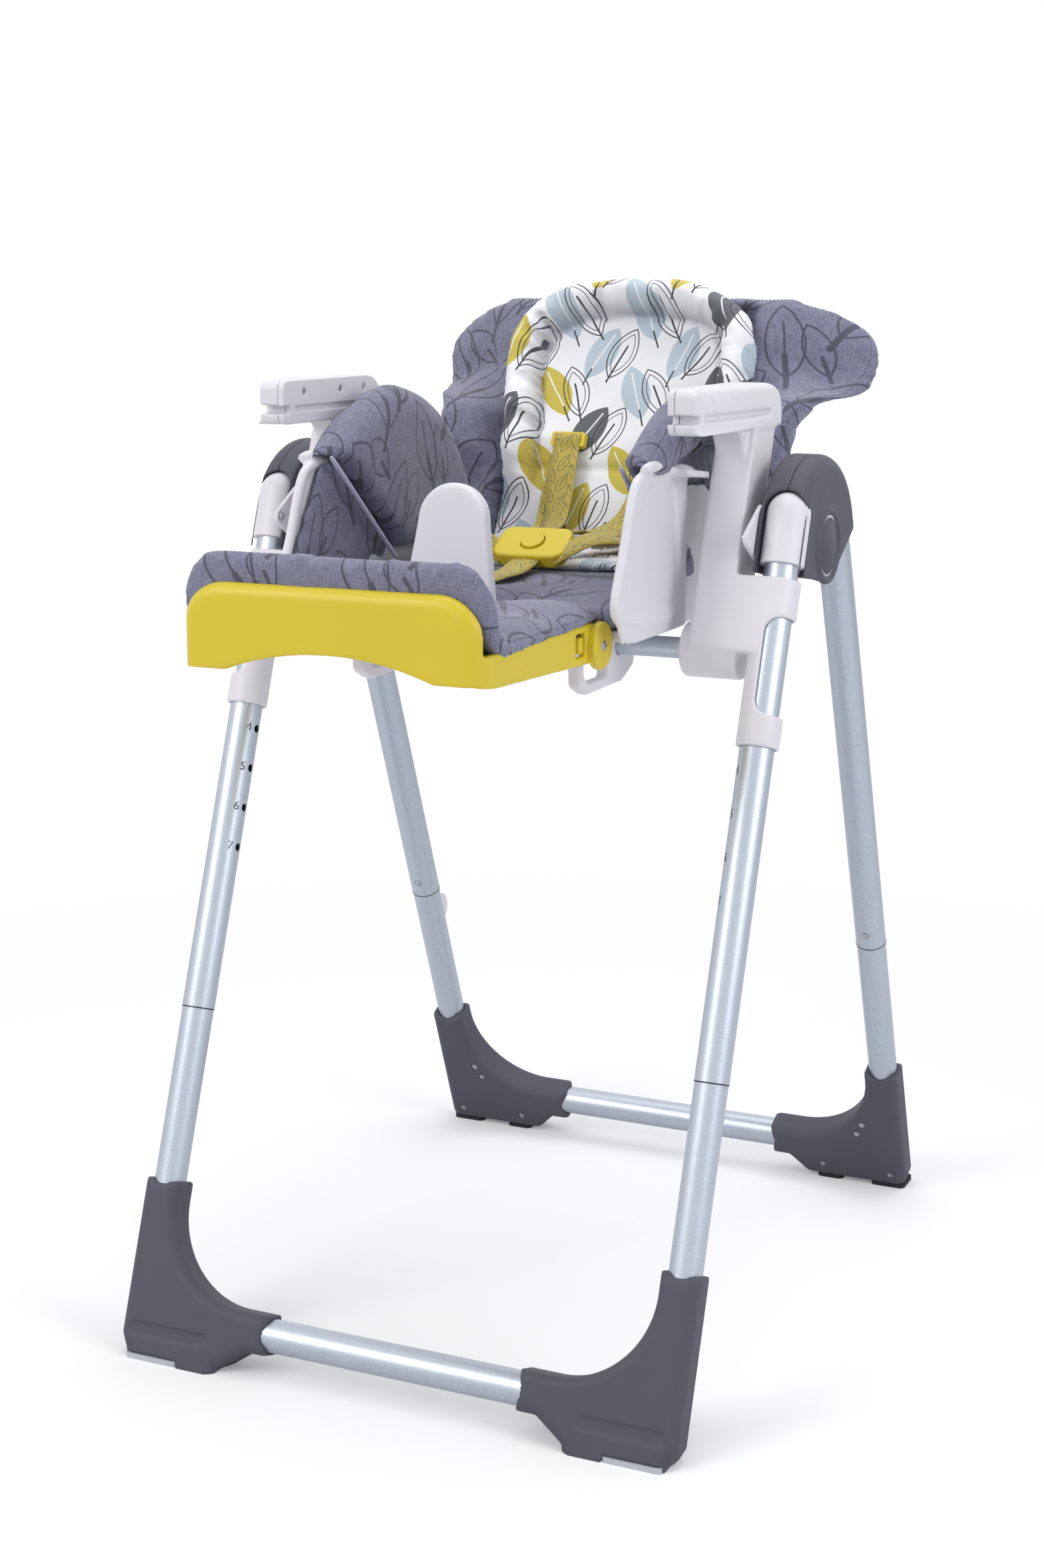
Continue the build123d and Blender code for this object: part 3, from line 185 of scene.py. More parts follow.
floor_mesh = bpy.data.meshes.new("floor")
floor_mesh.from_pydata([(-FLOOR_HALF, -FLOOR_HALF, 0), (FLOOR_HALF, -FLOOR_HALF, 0),
                        (FLOOR_HALF, FLOOR_HALF, 0), (-FLOOR_HALF, FLOOR_HALF, 0)], [], [(0, 1, 2, 3)])
floor = linked("floor", floor_mesh)
floor_finish = bpy.data.materials.new("floor")
floor_finish.use_nodes = True
tree = floor_finish.node_tree
tree.nodes.clear()
matte = add(tree, "ShaderNodeBsdfDiffuse", Color=FLOOR_COLOUR)
path = add(tree, "ShaderNodeLightPath")
glow = add(tree, "ShaderNodeEmission", Color=(1, 1, 1, 1),
           Strength=calc(tree, "MULTIPLY", path.outputs["Is Camera Ray"], 0.18))
lit = add(tree, "ShaderNodeAddShader", i0=matte.outputs[0], i1=glow.outputs[0])
# far from the object the paper goes over into the backdrop
where = add(tree, "ShaderNodeTexCoord").outputs["Object"]
away = add(tree, "ShaderNodeVectorMath", {"operation": "LENGTH"}, i0=where).outputs["Value"]
fade = add(tree, "ShaderNodeMapRange", {"interpolation_type": "SMOOTHSTEP"},
           Value=away, From_Min=FADE_FROM, From_Max=FADE_TO).outputs[0]
paper = add(tree, "ShaderNodeEmission", Color=(1, 1, 1, 1), Strength=1.0)
share = calc(tree, "MULTIPLY", fade, path.outputs["Is Camera Ray"])
both = add(tree, "ShaderNodeMixShader", i0=share, i1=lit.outputs[0], i2=paper.outputs[0])
add(tree, "ShaderNodeOutputMaterial", Surface=both.outputs[0])
floor_mesh.materials.append(floor_finish)


# %% Lamps
def lamp(name, place, target, size, watts, colour=(1, 1, 1)):
    """A square soft box at place that points at target."""
    data = bpy.data.lights.new(name, "AREA")
    data.size = size
    data.energy = watts
    data.color = colour
    made = linked(name, data)
    made.location = place
    made.rotation_euler = (Vector(target) - Vector(place)).to_track_quat("-Z", "Y").to_euler()


SEAT_CENTRE = (0, 0, 0.75)
lamp("key", (-1.6, -2.6, 2.4), SEAT_CENTRE, 1.8, 46, (1, 0.99, 0.97))
lamp("side", (2.8, -0.6, 1.7), SEAT_CENTRE, 1.6, 26, (0.97, 0.98, 1))
lamp("top", (0.2, 0.4, 3.2), SEAT_CENTRE, 2.4, 34)

# %% [markdown]
# ## Finishes of the hard parts
#
# The hard parts are moulded plastic and lacquered aluminium tube. Injection moulded plastic has a very
# fine spark-eroded grain, so each plastic gets a grain in its bump and a slight drift in its roughness.
# The tubes are painted in a silver-blue metallic lacquer, whose flakes are a fine sparkle.


# %% A material with its shader
finishes = {}


def material(name, colour, roughness, **values):
    """Adds a material with a Principled shader to the finishes; returns its tree and the shader."""
    made = finishes[name] = bpy.data.materials.new(name)
    made.use_nodes = True
    made.node_tree.nodes.clear()
    shader = add(made.node_tree, "ShaderNodeBsdfPrincipled", Base_Color=colour, Roughness=roughness, **values)
    add(made.node_tree, "ShaderNodeOutputMaterial", Surface=shader.outputs[0])
    return made.node_tree, shader


def colour_from(tree, shader, colour):
    """Feeds the shader's colour."""
    tree.links.new(colour, shader.inputs["Base Color"])


def shaded(colour, share):
    """The colour with its red, green and blue times share."""
    return tuple(part * share for part in colour[:3]) + (1,)


def place(tree):
    """The place of the surface in the frame, in metres."""
    return add(tree, "ShaderNodeTexCoord").outputs["Object"]


def noise_at(tree, where, size, detail=2.0, roughness=0.5):
    """Noise from 0 to 1 with features of about size metres."""
    made = add(tree, "ShaderNodeTexNoise", Vector=where, Scale=1 / size, Detail=detail, Roughness=roughness)
    return made.outputs["Fac"]


def ramp(tree, value, low, high):
    """Stretches 0 to 1 over low to high."""
    made = add(tree, "ShaderNodeMapRange", Value=value, From_Min=0.0, From_Max=1.0, To_Min=low, To_Max=high)
    return made.outputs[0]


def bump(tree, shader, height, strength, distance, under=None):
    """Adds a bump of that height to the shader, over another bump's normal if one is given."""
    made = add(tree, "ShaderNodeBump", Height=height, Strength=strength, Distance=distance)
    if under is not None:
        tree.links.new(under, made.inputs["Normal"])
    tree.links.new(made.outputs[0], shader.inputs["Normal"])
    return made.outputs[0]


# %% Moulded plastics
GLOSS_DRIFT = 0.06


def moulded(name, colour, roughness, grain=0.0006, strength=0.12):
    """Moulded plastic: one colour with a faint cloud, spark-eroded grain, uneven gloss."""
    tree, shader = material(name, colour, roughness)
    where = place(tree)
    cloud = noise_at(tree, where, size=0.07, detail=3)
    colour_from(tree, shader, mix(tree, cloud, shaded(colour, 0.93), colour))
    uneven = noise_at(tree, where, size=0.02, detail=4)
    gloss = ramp(tree, uneven, roughness - GLOSS_DRIFT, roughness + GLOSS_DRIFT)
    tree.links.new(gloss, shader.inputs["Roughness"])
    bump(tree, shader, noise_at(tree, where, grain, detail=2), strength, distance=0.0002)


moulded("white_plastic", rgb(226, 223, 228), roughness=0.42, strength=0.06)
moulded("mustard_plastic", rgb(218, 195, 42), roughness=0.42, strength=0.08)
moulded("slate_plastic", rgb(76, 76, 88), roughness=0.62, grain=0.0008, strength=0.25)
moulded("button_plastic", rgb(64, 64, 76), roughness=0.5, strength=0.08)
moulded("black_plastic", rgb(34, 34, 40), roughness=0.35, strength=0.05)
moulded("glide_plastic", rgb(196, 200, 206), roughness=0.4)
moulded("rubber", rgb(30, 30, 34), roughness=0.75, grain=0.0012, strength=0.4)
print("plastics:", len(finishes))


# %% Metals
MARK = 0.0004
FLAKE = 0.0011


def metal(name, colour, roughness):
    """Bare or plated metal with faint marks all over."""
    tree, shader = material(name, colour, roughness, Metallic=1.0)
    where = place(tree)
    uneven = noise_at(tree, where, size=0.01, detail=5)
    gloss = ramp(tree, uneven, low=roughness * 0.8, high=roughness * 1.25)
    tree.links.new(gloss, shader.inputs["Roughness"])
    bump(tree, shader, noise_at(tree, where, MARK), strength=0.05, distance=0.0001)


def lacquered_tube(name, colour, flake_colour):
    """Metallic lacquer: satin coat over fine aluminium flakes, a little uneven along the tube."""
    tree, shader = material(name, colour, 0.36, Metallic=0.82, Coat_Weight=0.25, Coat_Roughness=0.28)
    where = place(tree)
    flakes = noise_at(tree, where, FLAKE, detail=1)
    cloud = noise_at(tree, where, size=0.03, detail=5, roughness=0.65)
    grey = mix(tree, ramp(tree, cloud, low=0.3, high=0.7), shaded(colour, 0.94), colour)
    sharp = add(tree, "ShaderNodeMapRange", Value=flakes, From_Min=0.56, From_Max=0.8, To_Max=0.6).outputs[0]
    colour_from(tree, shader, mix(tree, sharp, grey, flake_colour))
    tree.links.new(ramp(tree, cloud, low=0.34, high=0.42), shader.inputs["Roughness"])
    bump(tree, shader, flakes, strength=0.05, distance=0.0002)


metal("steel", rgb(178, 178, 184), roughness=0.28)
metal("chrome", rgb(232, 232, 238), roughness=0.08)
lacquered_tube("leg_tube", rgb(186, 194, 206), flake_colour=rgb(236, 242, 250))

# %% [markdown]
# ## Dress the CAD parts
#
# Every hard part keeps its CAD shape and only changes its material. The record names one slot for each
# part, so one loop is enough.

# %% Give each slot its finish
waiting = set()
for name, part in nodes.items():
    for slot in part.material_slots:
        finish = slot.material.name.split(".")[0]
        if finish in finishes:
            slot.material = finishes[finish]
        else:
            waiting.add(finish)
print("slots still plain:", sorted(waiting))

# %% [markdown]
# ## Printed fabrics
#
# The covers are a slub-woven polyester: thick and thin threads cross and leave a soft grid. A tone-on-tone
# print lies over it. The liner is smooth white cotton with a three-colour print. Each print is one pointed
# petal with a vein, set in a half-drop lattice whose columns lean left and right in turn. The petal is
# worked out from two circles, so its outline stays crisp at any size. All of it reads the piece's own UV
# map, which holds the flat cut of the cloth in metres, so that the print follows every fold.


# %% Threads and petals
def cut_of(tree):
    """The place on the flat cut of the cloth, in metres."""
    return add(tree, "ShaderNodeUVMap", {"uv_map": "cut"}).outputs[0]


def stretched(tree, where, along_u, along_v):
    """Noise whose features are along_u by along_v metres."""
    scaled = add(tree, "ShaderNodeMapping", Vector=where, Scale=(1 / along_u, 1 / along_v, 1)).outputs[0]
    return add(tree, "ShaderNodeTexNoise", Vector=scaled, Scale=1.0, Detail=2.0).outputs["Fac"]


def woven(tree, where, thread, slub):
    """Threads of both directions, each as wide as thread and uneven over the length slub."""
    warp, weft = stretched(tree, where, thread, slub), stretched(tree, where, slub, thread)
    return calc(tree, "MULTIPLY_ADD", warp, 0.5, calc(tree, "MULTIPLY", weft, 0.5))


def tinted(tree, mask, share, cloth, colour):
    """The cloth with that share of the colour laid over it where the mask is 1."""
    return mix(tree, calc(tree, "MULTIPLY", mask, share), cloth, colour)


def without(tree, value):
    """1 where the value is 0, 0 where it is 1."""
    return calc(tree, "SUBTRACT", 1.0, value)


def soft_step(tree, value, low, high):
    """0 below low, 1 above high, smooth between."""
    made = add(tree, "ShaderNodeMapRange", {"interpolation_type": "SMOOTHSTEP"},
               Value=value, From_Min=low, From_Max=high)
    return made.outputs[0]


PRINT_EDGE = 0.00025


def petals(tree, where, cell, length, half, tilt, shift=(0, 0), swing=0.0):
    """One petal in each cell of a half-drop lattice. Returns the distance to the petal's edge, which is less
    than 0 inside, the places along and across the petal, and the petal's own random number."""
    moved = add(tree, "ShaderNodeMapping", Vector=where, Location=(shift[0], shift[1], 0)).outputs[0]
    parts = add(tree, "ShaderNodeSeparateXYZ", Vector=moved)
    u, v = parts.outputs[0], parts.outputs[1]
    column = calc(tree, "FLOOR", calc(tree, "DIVIDE", u, cell[0]))
    odd = calc(tree, "FLOORED_MODULO", column, 2.0)
    dropped = calc(tree, "MULTIPLY_ADD", odd, cell[1] / 2, v)
    row = calc(tree, "FLOOR", calc(tree, "DIVIDE", dropped, cell[1]))
    key = add(tree, "ShaderNodeCombineXYZ", i0=column, i1=row).outputs[0]
    pick = add(tree, "ShaderNodeTexWhiteNoise", {"noise_dimensions": "2D"}, Vector=key).outputs["Value"]
    x = calc(tree, "SUBTRACT", u, calc(tree, "MULTIPLY", calc(tree, "ADD", column, 0.5), cell[0]))
    y = calc(tree, "SUBTRACT", dropped, calc(tree, "MULTIPLY", calc(tree, "ADD", row, 0.5), cell[1]))
    side = calc(tree, "MULTIPLY_ADD", odd, 2.0, -1.0)
    angle = calc(tree, "MULTIPLY_ADD", calc(tree, "SUBTRACT", pick, 0.5), swing,
                 calc(tree, "MULTIPLY", side, tilt))
    cosine, sine = calc(tree, "COSINE", angle), calc(tree, "SINE", angle)
    across = calc(tree, "SUBTRACT", calc(tree, "MULTIPLY", x, cosine), calc(tree, "MULTIPLY", y, sine))
    along = calc(tree, "MULTIPLY_ADD", x, sine, calc(tree, "MULTIPLY", y, cosine))
    circle = (length * length / 4 + half * half) / (2 * half)
    reach = calc(tree, "ADD", calc(tree, "ABSOLUTE", across), circle - half)
    square = calc(tree, "MULTIPLY_ADD", reach, reach, calc(tree, "MULTIPLY", along, along))
    return calc(tree, "SUBTRACT", calc(tree, "SQRT", square), circle), along, across, pick


def stroke(tree, distance, line, at=0.0):
    """1 on a line of that width where the distance is at."""
    off = calc(tree, "ABSOLUTE", calc(tree, "SUBTRACT", distance, at))
    return without(tree, soft_step(tree, off, line / 2 - PRINT_EDGE, line / 2 + PRINT_EDGE))


def vein(tree, along, across, line, low, high):
    """1 on the petal's middle line between two places along it."""
    thin = stroke(tree, across, line)
    begun = soft_step(tree, along, low - PRINT_EDGE, low + PRINT_EDGE)
    going = without(tree, soft_step(tree, along, high - PRINT_EDGE, high + PRINT_EDGE))
    return calc(tree, "MULTIPLY", thin, calc(tree, "MULTIPLY", begun, going))


def any_of(tree, *masks):
    """1 where any of the masks is 1."""
    result = masks[0]
    for mask in masks[1:]:
        result = calc(tree, "MAXIMUM", result, mask)
    return result


# %% Grey slub fabric
def slub_fabric(name, light, dark, ink):
    """Grey woven cover with a darker print of outlined petals and their veins."""
    tree, shader = material(name, light, 0.86, Sheen_Weight=0.25, Sheen_Roughness=0.5)
    where = cut_of(tree)
    threads = woven(tree, where, thread=0.0009, slub=0.011)
    cloth = mix(tree, soft_step(tree, threads, 0.36, 0.64), dark, light)
    cloth = tinted(tree, noise_at(tree, place(tree), size=0.06, detail=3), 0.22, cloth, dark)
    cell = (0.066, 0.112)
    big, along, across, _ = petals(tree, where, cell, length=0.080, half=0.0205, tilt=0.46, swing=0.4)
    small, small_along, small_across, _ = petals(tree, where, cell, length=0.056, half=0.0135, tilt=-0.55,
                                                 shift=(0.033, 0.056), swing=0.6)
    drawn = any_of(tree, stroke(tree, big, line=0.0024),
                   vein(tree, along, across, line=0.0060, low=-0.060, high=-0.012),
                   vein(tree, along, across, line=0.0024, low=-0.012, high=0.022),
                   stroke(tree, small, line=0.0022),
                   vein(tree, small_along, small_across, line=0.0040, low=-0.036, high=-0.006))
    worn = ramp(tree, threads, low=0.60, high=0.95)
    colour_from(tree, shader, tinted(tree, drawn, worn, cloth, ink))
    creases = noise_at(tree, place(tree), size=0.018, detail=3)
    folds = bump(tree, shader, creases, strength=0.25, distance=0.004)
    bump(tree, shader, threads, strength=0.45, distance=0.0005, under=folds)


slub_fabric("grey_fabric", rgb(137, 138, 160), rgb(99, 100, 122), rgb(56, 56, 70))


# %% White printed cotton
def liner_cotton(name, white, ink):
    """White cotton with filled petals in three colours and dark outlined ones between them, and painted shade
    in the crease along the roll's inner seam.
    """
    tree, shader = material(name, white, 0.82, Sheen_Weight=0.15, Sheen_Roughness=0.5)
    where = cut_of(tree)
    mustard, mist, slate = rgb(205, 186, 66), rgb(188, 203, 213), rgb(88, 92, 96)
    cell = (0.046, 0.088)
    filled, along, across, pick = petals(tree, where, cell, length=0.064, half=0.0160, tilt=0.38,
                                         shift=(0.012, 0.01), swing=0.4)
    drawn, drawn_along, drawn_across, _ = petals(tree, where, cell, length=0.060, half=0.0140, tilt=-0.45,
                                                 shift=(0.035, 0.054), swing=0.5)
    tint = mix(tree, soft_step(tree, pick, 0.36, 0.361), mustard, mist)
    tint = mix(tree, soft_step(tree, pick, 0.70, 0.701), tint, slate)
    blank = vein(tree, along, across, line=0.0016, low=-0.020, high=0.024)
    inside = without(tree, soft_step(tree, filled, -PRINT_EDGE, PRINT_EDGE))
    cloth = tinted(tree, inside, without(tree, blank), white, tint)
    lines = any_of(tree, stroke(tree, drawn, line=0.0013), stroke(tree, drawn, line=0.0009, at=-0.0045),
                   vein(tree, drawn_along, drawn_across, line=0.0020, low=-0.036, high=0.010),
                   vein(tree, along, across, line=0.0018, low=-0.040, high=-0.020))
    cloth = mix(tree, lines, cloth, ink)
    # painted shade: the cloth darkens along the crease at the roll's inner seam, where shade falls
    seam = add(tree, "ShaderNodeAttribute", {"attribute_name": "seam_shade"}).outputs["Fac"]
    cloth = tinted(tree, seam, 0.55, cloth, rgb(120, 122, 136))
    weave = woven(tree, where, thread=0.0005, slub=0.004)
    colour_from(tree, shader, tinted(tree, weave, 0.10, cloth, rgb(186, 188, 200)))
    creases = noise_at(tree, place(tree), size=0.016, detail=3)
    folds = bump(tree, shader, creases, strength=0.22, distance=0.004)
    bump(tree, shader, weave, strength=0.3, distance=0.0004, under=folds)


liner_cotton("liner_fabric", rgb(243, 243, 246), rgb(44, 42, 52))

# %% Mustard webbing
TWILL_WAVE = 5200.0
PRINT_MARGIN = 0.0128


def printed_webbing(name):
    """Twill webbing with a plain margin along both edges and a chain of small dark petals between them."""
    tree, shader = material(name, rgb(196, 176, 80), 0.7, Sheen_Weight=0.2)
    where = cut_of(tree)
    parts = add(tree, "ShaderNodeSeparateXYZ", Vector=where)
    u, v = parts.outputs[0], parts.outputs[1]
    twill = calc(tree, "SINE", calc(tree, "MULTIPLY", calc(tree, "ADD", u, v), TWILL_WAVE))
    raised = ramp(tree, calc(tree, "MULTIPLY_ADD", twill, 0.5, 0.5), 0.0, 0.35)
    cloth = mix(tree, raised, rgb(200, 180, 84), rgb(164, 144, 54))
    cloth = tinted(tree, stretched(tree, where, 0.004, 0.02), 0.3, cloth, rgb(158, 140, 52))
    petal, along, across, _ = petals(tree, where, (0.0135, 0.024), length=0.0210, half=0.0048, tilt=0.50,
                                     shift=(0.00675, 0))
    lines = any_of(tree, stroke(tree, petal, line=0.0007),
                   vein(tree, along, across, line=0.0009, low=-0.016, high=0.004))
    printed = calc(tree, "LESS_THAN", calc(tree, "ABSOLUTE", u), PRINT_MARGIN)
    lines = calc(tree, "MULTIPLY", lines, printed)
    colour_from(tree, shader, tinted(tree, lines, 0.9, cloth, rgb(60, 76, 56)))
    bump(tree, shader, twill, strength=0.35, distance=0.0003)


printed_webbing("webbing")
print("finishes:", len(finishes))

# %% [markdown]
# ## Sewn pads
#
# A real pad is two flat panels of cloth, sewn together round the edge and filled. The mesh is made the same
# way. A Delaunay net fills the flat cut, front and back share the seam, and a place function bends the cut
# over the frame. A short cloth simulation with inner pressure then swells the panels between the seams,
# and the shift of each point is capped, so that the pad keeps its size.

# %% The net of a flat cut
def smooth_outline(points, step, closed=True):
    """A Catmull-Rom curve through the points, sampled about every step metres."""
    count = len(points)
    result = []
    for i in range(count if closed else count - 1):
        p0, p1, p2, p3 = (Vector(points[(i + k) % count] if closed else points[min(max(i + k, 0), count - 1)])
                          for k in (-1, 0, 1, 2))
        pieces = max(1, round((p2 - p1).length / step))
        for j in range(pieces):
            t = j / pieces
            result.append(0.5 * ((2 * p1) + (p2 - p0) * t + (2 * p0 - 5 * p1 + 4 * p2 - p3) * t * t
                                 + (3 * p1 - p0 - 3 * p2 + p3) * t ** 3))
    if not closed:
        result.append(Vector(points[-1]))
    return result


def net(outline, step):
    """Points and triangles that fill an outline. The outline's own points come first."""
    low = [min(p[i] for p in outline) for i in (0, 1)]
    high = [max(p[i] for p in outline) for i in (0, 1)]
    rim = KDTree(len(outline))
    for i, p in enumerate(outline):
        rim.insert((p[0], p[1], 0), i)
    rim.balance()
    points = [Vector((p[0], p[1])) for p in outline]
    rows = int((high[1] - low[1]) / (step * 0.866)) + 1
    for r in range(rows):
        y = low[1] + r * step * 0.866
        x = low[0] + (step / 2 if r % 2 else 0)
        while x < high[0]:
            if rim.find((x, y, 0))[2] > step * 0.6:
                points.append(Vector((x, y)))
            x += step
    made = delaunay_2d_cdt(points, [], [list(range(len(outline)))], 1, 1e-7)
    used = sorted({i for face in made[2] for i in face})
    renumber = {old: new for new, old in enumerate(used)}
    places = [made[0][i] for i in used]
    faces = [tuple(renumber[i] for i in face) for face in made[2]]
    seam = []
    for p in places:
        near = rim.find((p[0], p[1], 0))
        seam.append((near[2], near[1] * step))
    return places, faces, seam


# %% From a flat cut to a pad
def sewn(name, outline, height, place_at, step):
    """Closed pad from a flat outline, in triangles of about step. height(u, v, edge) gives the heights of
    front and back over the middle surface; place_at(u, v, h) puts a point of the cut in the frame. Returns
    the object and each point's distance to the seam, place along the seam, and side: 1 front, 0 seam,
    -1 back."""
    places, faces, seam = net(outline, step)
    mesh = bmesh.new()
    front, back, info = [], [], []
    for (u, v), (edge, along) in zip(places, seam):
        top, bottom = height(u, v, edge)
        on_seam = edge < 1e-6
        front.append(mesh.verts.new(place_at(u, v, (top + bottom) / 2 if on_seam else top)))
        back.append(front[-1] if on_seam else None)
        info.append((edge, along, 0 if on_seam else 1))
    for i, ((u, v), (edge, along)) in enumerate(zip(places, seam)):
        if back[i] is None:
            top, bottom = height(u, v, edge)
            back[i] = mesh.verts.new(place_at(u, v, bottom))
            info.append((edge, along, -1))
    layer = mesh.loops.layers.uv.new("cut")
    for side in (front, back):
        for face in faces:
            if all(front[i] is back[i] for i in face):
                continue
            order = face if side is front else face[::-1]
            made = mesh.faces.new([side[i] for i in order])
            made.smooth = True
            for loop, i in zip(made.loops, order):
                loop[layer].uv = places[i]
    return built(name, mesh), info


def round_edge(edge, reach):
    """0 at the seam, 1 from reach inwards, as a quarter circle."""
    share = min(edge / reach, 1.0)
    return math.sqrt(max(0.0, 1 - (1 - share) ** 2))


def smooth(value, low, high):
    """0 below low, 1 above high, smooth between; low may be the larger one."""
    share = min(max((value - low) / (high - low), 0.0), 1.0)
    return share * share * (3 - 2 * share)


# %% Swell and crumple
SWELL_FRAMES = 14


def swell(piece, pressure, cap):
    """Fills the closed cloth with pressure and keeps each point within cap of where it was."""
    start = [v.co.copy() for v in piece.data.vertices]
    cloth = piece.modifiers.new("cloth", "CLOTH")
    settings = cloth.settings
    settings.quality = 4
    settings.mass = 0.25
    settings.tension_stiffness = settings.compression_stiffness = 12
    settings.shear_stiffness = 4
    settings.bending_stiffness = 0.4
    settings.use_pressure = True
    settings.uniform_pressure_force = pressure
    settings.effector_weights.gravity = 0
    scene = bpy.context.scene
    for number in range(1, SWELL_FRAMES + 1):
        scene.frame_set(number)
    moved = [v.co.copy() for v in evaluated(piece).data.vertices]
    piece.modifiers.remove(cloth)
    for vertex, a, b in zip(piece.data.vertices, start, moved):
        shift = b - a
        vertex.co = a + shift * (min(shift.length, cap) / max(shift.length, 1e-9))
    scene.frame_set(1)


def crumple(piece, info, gather=0.002, pitch=0.016, reach=0.03, soft=0.0015, size=0.05, seed=0.0):
    """Gathers that fade inwards from the seam, and soft dents all over."""
    piece.data.update()
    for vertex, (edge, along, side) in zip(piece.data.vertices, info):
        fold = noise.noise(Vector((along / pitch, seed, side * 3.1 + edge * 14)))
        dent = noise.noise(vertex.co / size + Vector((seed, seed, seed)))
        fade = math.exp(-edge / reach) * min(edge / 0.006 + 0.15, 1)
        vertex.co += vertex.normal * (gather * fold * 2 * fade + soft * dent * 2 * min(edge / 0.02, 1))


def dress(piece, finish, levels=1):
    """Gives a piece its material, slot and subdivision."""
    piece.data.materials.append(finishes[finish])
    for polygon in piece.data.polygons:
        polygon.use_smooth = True
    if levels:
        smoother = piece.modifiers.new("smooth", "SUBSURF")
        smoother.levels = smoother.render_levels = levels
    return piece


# %% [markdown]
# ## Backrest cover
#
# The cover is wide behind the wings and has a soft lobe on either side of the head. Its panels meet in a
# side band, and its flanks stand a little forward, so that the back is slightly hollow. The frame of the
# back is a plane that leans 25 degrees, so the pad is cut flat and laid on that plane.

# %% The plane of the back
BACK_LEAN = math.radians(25)
back_origin = Vector(joints["recline"]["pos_m"])
back_up = Vector((0, math.sin(BACK_LEAN), math.cos(BACK_LEAN)))
back_out = Vector((0, -math.cos(BACK_LEAN), math.sin(BACK_LEAN)))


def on_back(x, s, n):
    """A point x to the right, s up the back and n in front of the recline axis."""
    return back_origin + Vector((x, 0, 0)) + back_up * s + back_out * n


def mirror_outline(right):
    """A closed outline from its right half, which starts at the bottom and ends on the middle line."""
    return right + [(-x, y) for x, y in reversed(right[:-1])]


# %% Backrest pad
BACK_PAD_HALF = [(0.140, 0.016), (0.149, 0.05), (0.158, 0.078), (0.186, 0.098), (0.204, 0.132),
                 (0.210, 0.168), (0.219, 0.192), (0.230, 0.216), (0.244, 0.246), (0.2505, 0.276),
                 (0.245, 0.304), (0.218, 0.324), (0.165, 0.335), (0.086, 0.339), (0, 0.338)]
BACK_PAD_REAR = -0.045
SEAM_INSET = 0.009


def back_pad_heights(u, v, edge):
    """Front and rear of the backrest pad: a band at the edge, hollow in the middle, lobes swept back."""
    wide = abs(u)
    flank = 0.050 * smooth(wide, 0.12, 0.19) * smooth(v, 0.25, 0.17) * smooth(v, 0.09, 0.14)
    flank += 0.024 * smooth(wide, 0.115, 0.145) * smooth(v, 0.14, 0.08) * smooth(v, 0.03, 0.06)
    swept = -0.045 * smooth(wide, 0.16, 0.25) * smooth(v, 0.2, 0.27)
    front = -0.020 + flank + swept
    rear = BACK_PAD_REAR + 0.6 * flank + swept
    middle = (front + rear) / 2
    half = (front - rear) / 2 * (0.45 + 0.55 * round_edge(edge, 0.016))
    half -= 0.0025 * math.exp(-((edge - SEAM_INSET) / 0.005) ** 2)
    return middle + half, middle - half


back_outline = smooth_outline(mirror_outline(BACK_PAD_HALF), step=0.007)
back_pad, info = sewn("backrest_cover", back_outline, back_pad_heights, on_back, step=0.0075)
swell(back_pad, pressure=3.0, cap=0.010)
crumple(back_pad, info, gather=0.003, pitch=0.034, reach=0.030, soft=0.003, size=0.06, seed=4)
shell_points = [v.co - back_origin for v in nodes["backrest_shell"].data.vertices]
SHELL_HALF = max(abs(p.x) for p in shell_points)
SHELL_TOP = max(p.dot(back_up) for p in shell_points)
SHELL_FACE = -0.0465
UNDER_LINER = -0.0225
FREE = 0.2


def between_liner_and_shell(piece):
    """Keeps the cover in front of the shell, and behind the liner where that lies on it."""
    for vertex in piece.data.vertices:
        off = vertex.co - back_origin
        s, n = off.dot(back_up), off.dot(back_out)
        over_shell = smooth(abs(off.x), SHELL_HALF + 0.012, SHELL_HALF + 0.002)
        over_shell *= smooth(s, SHELL_TOP + 0.010, SHELL_TOP)
        low = SHELL_FACE * over_shell - FREE * (1 - over_shell)
        under = smooth(abs(off.x), 0.138, 0.124) * smooth(s, 0.325, 0.312)
        high = UNDER_LINER * under + FREE * (1 - under)
        vertex.co += back_out * (max(low, min(high, n)) - n)


between_liner_and_shell(back_pad)
dress(back_pad, "grey_fabric")
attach(back_pad, "backrest")
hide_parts("backrest_pad")
print("backrest cover:", len(back_pad.data.vertices), "points")

# %% [markdown]
# ## Side pads over the wings
#
# Each side pad is a padded hood: it lies on the inside of the seat's wing, goes over its top and comes down
# a little way outside, where a snap holds it. Its front edge runs back and down in a slant and shows a
# light binding. In front of it a thin lining covers the wing. The cut is measured from the hood's top
# line, so that one outline in plan gives the whole hood.

# %% The hood's section
HOOD_TOP = smooth_outline([(-0.150, 0.853), (-0.114, 0.875), (-0.080, 0.893), (-0.029, 0.909),
                           (0.010, 0.911), (0.075, 0.891), (0.116, 0.855), (0.142, 0.812),
                           (0.156, 0.772)], step=0.002, closed=False)
HOOD_MIDDLE = 0.166
HOOD_ROUND = 0.015
PAD_FLOOR = 0.742


def hood_top(y):
    """Height of the hood's top line."""
    if y <= HOOD_TOP[0][0]:
        return HOOD_TOP[0][1]
    for a, b in zip(HOOD_TOP, HOOD_TOP[1:]):
        if y <= b[0]:
            return a[1] + (b[1] - a[1]) * (y - a[0]) / (b[0] - a[0])
    return HOOD_TOP[-1][1]


